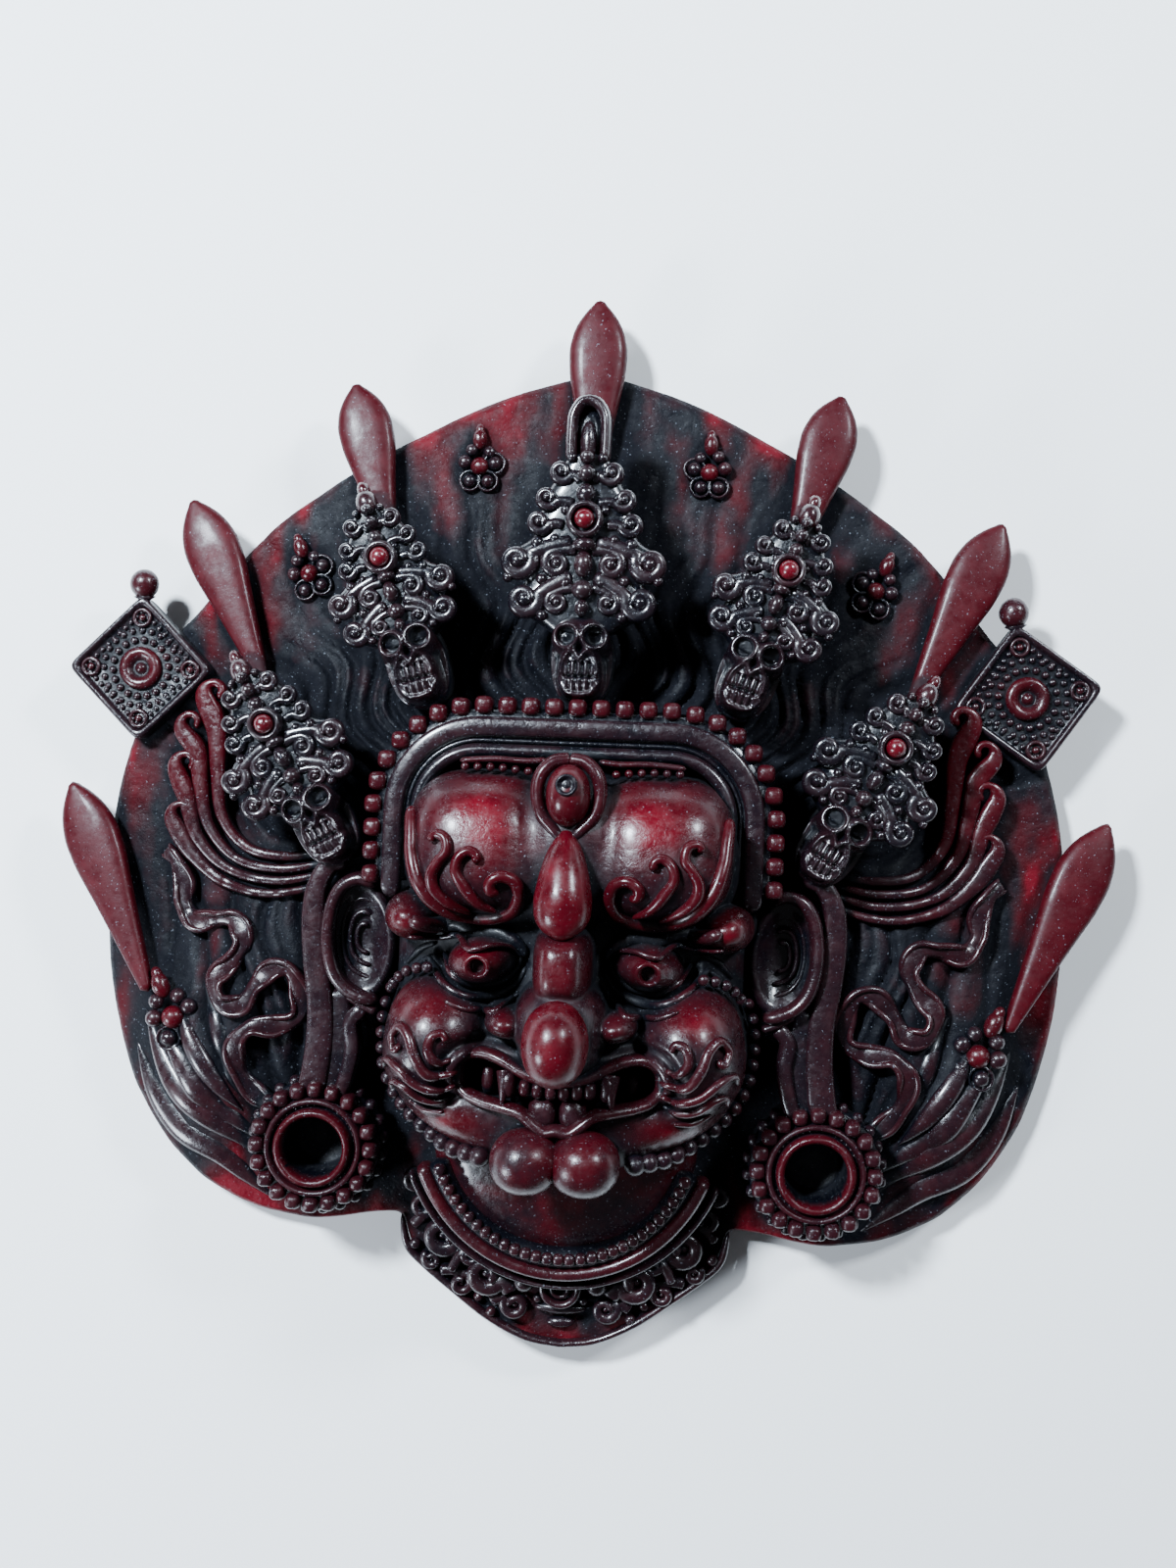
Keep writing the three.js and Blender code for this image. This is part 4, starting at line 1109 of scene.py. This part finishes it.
def crown_leaf(scale, tall):
    """One leaf with its skull: its shapes and their bareness, upright, before it is leaned and set down."""
    def put(x, y):
        return (x * scale, (y - 17.0) * scale + (17.0 if tall else 15.0))

    outline = np.array([put(half, y) for y, half in LEAF])
    spine = [(0.0, y, 29.0) for y in outline[:, 1]]
    path = smooth_line(spine, 90)
    width = np.interp(path[:, 1], outline[:, 1], outline[:, 0])
    neck = strand([(0, y, 24.0) for y in np.linspace(-1, put(0, 30)[1], 20)], 4.6, 6.0, sides=16, square=0.6)
    shapes = [strand(path, blur_line(width, 5), 5.0, sides=32, square=0.6, ends=0.02), neck, skull()]
    rub = [-0.15, -0.2, 0.1]
    paired = []
    for middle, size, start, tail, side in SCROLLS:
        paired.append(volute(put(*middle), size * scale, start, tail=put(*tail), side=side))
        eye = 0.46 * size * scale
        paired.append(egg((*put(*middle), 34.4), (eye, eye, 1.8), rows=8, sides=12))
    for x, y, size in ((3.9, 25.9, 1.2), (10.4, 34.6, 1.5), (9.2, 26.6, 1.3), (6.6, 35.6, 1.2),
                       (4.4, 42.0, 1.2), (16.6, 26.8, 1.2), (8.8, 18.6, 1.3), (3.4, 53.6, 1.2)):
        paired.append(egg((*put(x, y), 33.8), (size * scale, size * scale, 1.7), rows=8, sides=12))
    shapes += mirrored(paired)
    rub += [0.04] * (2 * len(paired))
    for y, wide, high in ((45.6, 2.2, 2.2), (50.0, 2.0, 2.0), (53.6, 1.7, 1.7), (34.4, 2.6, 1.6),
                          (30.0, 2.1, 3.0), (24.4, 2.4, 2.2), (20.4, 1.6, 1.9)):
        shapes.append(egg((*put(0, y), 35.0), (wide * scale, high * scale, 2.6), rows=12, sides=18))
        rub.append(0.14)
    spot = put(0, 39.8)
    cup = 0.5 + 0.5 * scale
    shapes.append(strand(ring_of((*spot, 35.6), 3.4 * cup, 28), 0.85, 2.2, sides=10, loop=True))
    shapes.append(egg((*spot, 37.0), (2.2, 2.2, 2.3), rows=14, sides=22))
    rub += [0.14, 0.85]
    if tall:
        hood = smooth_line([(3.7, 53.0), (3.8, 58.5), (3.5, 63.0), (1.9, 65.9), (0, 66.6)], 30)
        hood = np.vstack([hood, (hood * [-1, 1])[::-1][1:]])
        shapes.append(strand(lifted(hood, 32.5), 1.3, 2.8, sides=12, ends=0.03))
        shapes.append(egg((0, 59.4, 29.5), (3.6, 7.0, 3.0), rows=12, sides=20))
        shapes.append(egg((0, 57.2, 32.4), (1.9, 5.0, 2.4), rows=12, sides=16))
        rub += [0.12, -0.3, 0.08]
    else:
        y = put(0, 54.6)[1]
        shapes.append(egg((0, y + 1.0, 32.5), (2.5, 3.2, 3.0), rows=14, sides=20))
        shapes.append(egg((0, y + 4.2, 31.6), (1.5, 2.2, 2.2), rows=12, sides=16))
        rub += [0.3, 0.5]
    return shapes, rub


CROWN = [("middle", 0.0, 28.0, 0.0, 1.0, 0.0)]
for rank, x, y, lean, scale, lift in (("inner", 34.5, 26.5, -18.4, 0.80, -0.5),
                                      ("outer", 53.0, -9.5, -29.4, 0.84, -2.0)):
    for hand, side in (("right", 1), ("left", -1)):
        CROWN.append((rank + "_" + hand, side * x, y, side * lean, scale, lift))
for name, x, y, lean, scale, lift in CROWN:
    leaf_shapes, leaf_rub = crown_leaf(scale, name == "middle")
    piece("crown_" + name, [moved(shape, (x, y, lift), math.radians(lean)) for shape in leaf_shapes],
          resin("crown_wax_" + name, rub=0.0, reach=0.24, mottle=0.6, polish=0.8), rub=leaf_rub)


# ---- Ears and earrings ------------------------------------------------------------------------
# Flat cupped ears with long stretched lobes carry drum earrings: a deep dark hole in two turned
# rings, set about with pegs whose caps are rubbed red.

def ear():
    """Rim, dished cup with rubbed rings inside, the broad strap behind it, and the split lobe under it."""
    rim = smooth_line([(44.6, -15.4), (48.0, -13.6), (52.2, -15.4), (54.6, -20.4), (55.2, -28), (53.8, -34.6),
                       (50.8, -38.6), (46.6, -40.6), (43.2, -41.0)], 60)
    strap = smooth_line([(51.5, -9.6), (56.0, -11.0), (58.8, -16.5), (59.2, -24), (58.4, -33), (57.0, -42),
                         (56.8, -51), (57.6, -59), (58.6, -64)], 70)
    lobe_in = smooth_line([(46.4, -42.6), (49.6, -46.6), (49.0, -52.5), (50.2, -59), (52.0, -64)], 40)
    lobe = smooth_line([(54.4, -39.0), (53.2, -47.0), (53.6, -56.0), (55.0, -64.0)], 30)
    points, quads, triangles = turned([(0.02, -2.4), (0.3, -2.2), (0.6, -1.2), (0.85, 0.8), (0.95, 1.6),
                                       (1.05, 1.4), (1.12, -0.5), (1.12, -6.0), (0.02, -8.0)], 72)
    cup = moved((points * [6.9, 12.6, 1.0], quads, triangles), (48.0, -27.6, 23.4), -0.05)
    strap_width = np.interp(np.linspace(0, 1, 70), [0, 0.3, 1], [1.9, 2.8, 3.3])
    shapes = [cup, strand(lifted(rim, 25.4), 1.6, 3.2, sides=16, square=0.8),
              strand(lifted(strap, 22.8), strap_width, 2.6, sides=20, square=0.5, ends=0.03),
              strand(lifted(lobe_in, 22.4), 1.9, 3.4, sides=16, square=0.6),
              strand(lifted(lobe, 21.4), 3.6, 2.6, sides=16, square=0.45)]
    rub = [-0.06, 0.12, 0.06, 0.06, -0.06]
    for inset in (0.66, 0.44, 0.24):
        ring = (rim - [47.6, -27.6]) * inset + [47.6, -27.6]
        shapes.append(strand(lifted(ring, 22.6 - 1.6 * (0.66 - inset)), 0.6, 0.8, sides=8))
        rub.append(0.0)
    knot = smooth_line([(43.6, -43.8), (47.0, -42.4), (50.6, -40.2)], 20)
    shapes.append(strand(lifted(knot, 24.6), 1.1, 2.2))
    rub.append(0.1)
    return shapes, rub


ear_shapes, ear_rub = ear()
piece("ears", mirrored(ear_shapes), resin("ear_wax", rub=0.08, reach=0.3, mottle=0.5, polish=0.4),
      rub=ear_rub * 2)

drum = turned([(0.02, 12.0), (5.8, 12.1), (6.6, 13.0), (6.9, 19.0), (7.0, 26.6), (7.3, 27.4), (7.9, 27.9),
               (8.5, 27.6), (8.9, 26.8), (9.1, 24.6), (9.4, 24.2), (9.7, 25.0), (9.9, 26.2), (10.5, 26.8),
               (11.1, 26.2), (11.4, 24.4), (12.2, 22.6), (14.4, 22.2), (14.9, 20.5), (15.1, 10.0),
               (14.0, 6.0), (0.02, 6.0)], 96)
radius = np.hypot(drum[0][:, 0], drum[0][:, 1])
drum_rub = np.select([radius < 7.0, radius < 9.0, radius < 9.5, radius < 11.3],
                     [-0.5, 0.38, -0.3, 0.16], -0.2)
peg_places = ring_of((0, 0, 24.4), 13.1, 20)
outer_pegs = pearls(peg_places, 1.8, height=1.7, sides=14, rows=9, power=3.0)
rear_pegs = pearls(ring_of((0, 0, 19.6), 15.0, 24, 0.13), 1.35, height=1.5, sides=12, rows=7, power=2.6)
small_row = pearls(ring_of((0, 0, 24.2), 9.4, 40), 0.42)
ring_shapes = [moved(shape, (56.9, -75.2, 0.6)) for shape in (drum, outer_pegs, rear_pegs, small_row)]
piece("earrings", mirrored(ring_shapes), resin("earring_wax", rub=0.14, reach=0.25, mottle=0.4, polish=0.0),
      rub=[drum_rub, 0.18, -0.05, 0.0] * 2)


# ---- Collar and bib ---------------------------------------------------------------------------
# Under the chin the throat is plain and rubbed red in patches, with its colour lifted all over as painted
# sheen; round it run a row of pearls, two fillets and a bib of scrolls with a ringed boss in the middle,
# down to the point of the casting.

def necklace(wide, deep, count, height, end=27.0):
    """Evenly spaced places on the lower part of an oval about the throat, from end to end in degrees."""
    dense = np.radians(np.linspace(-180 + end, -end, 400))
    line = np.stack([wide * np.cos(dense), -66 + deep * np.sin(dense)], -1)
    return lifted(evenly(line, count), height)


points, quads, triangles = egg((0, -72.0, 15.5), (30.5, 27.0, 11.5), rows=40, sides=72, power=2.2)
throat = (over_hollow(points, 1.0), quads, triangles)
bead_seat = strand(necklace(30.6, 32.0, 120, 22.0, 20), 2.4, 3.2, sides=14, ends=0.02)
bead_row = pearls(necklace(30.4, 31.8, 29, 24.8, 24), 1.35, height=1.15, sides=12, rows=8, power=2.8)
fillets = [strand(necklace(34.4, 35.8, 140, 20.6, 20), 1.75, 3.6, sides=14, square=0.75, ends=0.02),
           strand(necklace(38.2, 39.6, 140, 17.6, 22), 0.9, 2.8, sides=12, ends=0.02)]
# the throat's high rub is partly real red rubbing in patches and partly painted sheen that lightens it
piece("throat", [throat], resin("throat_wax_and_painted_sheen", rub=0.42, reach=0.02, mottle=1.6, polish=0.45))
piece("collar", [bead_seat, bead_row, *fillets],
      resin("collar_wax", rub=0.12, reach=0.3, mottle=0.5, polish=0.3), rub=[-0.3, 0.1, 0.22, 0.0])


def on_bib(x, y):
    """Height at which an ornament sits on the bib's slope."""
    return float(hair_height(np.array(float(x)), np.array(float(y)))) + 1.0


bib_shapes, bib_rub = [], []
for x, y, size, start, side, tail in ((17.5, -105.3, 3.9, 200, 1, (11.5, -109.5)),
                                      (28.2, -97.2, 3.9, 190, 1, (23.0, -103.0)),
                                      (21.0, -101.0, 2.2, 20, -1, (26.0, -105.5)),
                                      (33.2, -90.5, 2.6, 200, 1, (35.8, -96.0)),
                                      (10.6, -112.6, 2.8, 30, -1, (16.5, -112.5)),
                                      (35.6, -84.5, 2.2, 220, 1, None),
                                      (23.6, -108.6, 2.5, 90, 1, (29.0, -106.0)),
                                      (30.8, -103.5, 2.0, 60, -1, None)):
    bib_shapes.append(volute((x, y), size, start, tail=tail, side=side, height=on_bib(x, y) + 0.4))
    bib_shapes.append(egg((x, y, on_bib(x, y) + 0.6), (0.3 * size, 0.3 * size, 1.3), rows=8, sides=12))
    bib_rub += [0.08, 0.12]
for x, y, size in ((8.4, -106.2, 2.5), (13.2, -107.0, 1.5), (25.4, -105.2, 1.4), (31.0, -91.5, 1.6),
                   (22.6, -98.4, 1.3), (5.4, -110.6, 1.1), (16.4, -115.2, 1.3), (35.0, -100.2, 1.4),
                   (19.5, -111.8, 1.2)):
    bib_shapes.append(egg((x, y, on_bib(x, y) + 0.3), (size, size, size), rows=10, sides=16))
    bib_rub.append(0.12)
rim_line = smooth_line([(38.6, -93.6), (37.0, -100.6), (33.0, -104.8), (26.0, -110.2), (17.0, -116.6),
                        (8.0, -120.8), (0.0, -122.0)], 60)
bib_shapes, bib_rub = mirrored(bib_shapes), bib_rub * 2
rim_line = np.vstack([rim_line[:-1], (rim_line * [-1, 1])[::-1]])
bib_shapes.append(strand(lifted(rim_line, 8.8), 1.0, 1.6, sides=10))
bib_rub.append(0.1)
boss_height = on_bib(0, -107)
for reach, half, tall in ((4.1, 1.0, 1.9), (1.9, 0.75, 2.2)):
    bib_shapes.append(strand(ring_of((0, -107.0, boss_height), reach, 36), half, tall, sides=10, loop=True))
    bib_rub.append(0.2)
bib_shapes.append(egg((0, -112.9, on_bib(0, -113)), (6.2, 1.5, 1.9), rows=12, sides=24))
bib_shapes.append(egg((0, -116.6, on_bib(0, -116.5)), (3.4, 1.4, 1.5), rows=12, sides=20))
bib_rub += [0.1, 0.1]
piece("bib", bib_shapes, resin("bib_wax", rub=0.08, reach=0.25, mottle=0.6, polish=0.35), rub=bib_rub)


# ---- Finishing touches ------------------------------------------------------------------------
# The black wax is wiped off by hand, so it stays in the hollows: every point gets its height above
# the casting's blurred top surface as the attribute that the patina reads.

CELL = 0.5
SPAN = 128.0


def blurred(field, radius):
    """The field averaged over a square window of the radius in cells, three times over."""
    width = 2 * radius + 1
    for _ in range(3):
        for axis in (0, 1):
            margins = [(radius + 1, radius) if k == axis else (0, 0) for k in (0, 1)]
            padded = np.pad(field, margins, mode="edge")
            total = np.cumsum(padded, axis=axis)
            field = (np.take(total, np.arange(width, total.shape[axis]), axis)
                     - np.take(total, np.arange(total.shape[axis] - width), axis)) / width
    return field


def wear():
    """Height of each vertex over the blurred casting, whose grid keeps the highest vertex in each cell."""
    cells = int(2 * SPAN / CELL)
    top = np.zeros((cells, cells))
    for _, points in PIECES:
        column, row = (np.clip(((points[:, k] + SPAN) / CELL).astype(int), 0, cells - 1) for k in (0, 1))
        np.maximum.at(top, (column, row), points[:, 2])
    filled = top.copy()
    for _ in range(2):
        for axis in (0, 1):
            around = np.maximum(np.roll(filled, 1, axis), np.roll(filled, -1, axis))
            filled = np.where(filled <= 0.01, around, filled)
    near, wide = blurred(filled, 2), blurred(filled, 7)
    for made, points in PIECES:
        column, row = (np.clip(((points[:, k] + SPAN) / CELL).astype(int), 0, cells - 1) for k in (0, 1))
        proud = 0.7 * (points[:, 2] - near[column, row]) + 0.3 * (points[:, 2] - wide[column, row])
        values = np.clip(proud, -3.0, 0.6).astype(np.float32)
        made.data.attributes.new("proud", "FLOAT", "POINT").data.foreach_set("value", values)


wear()
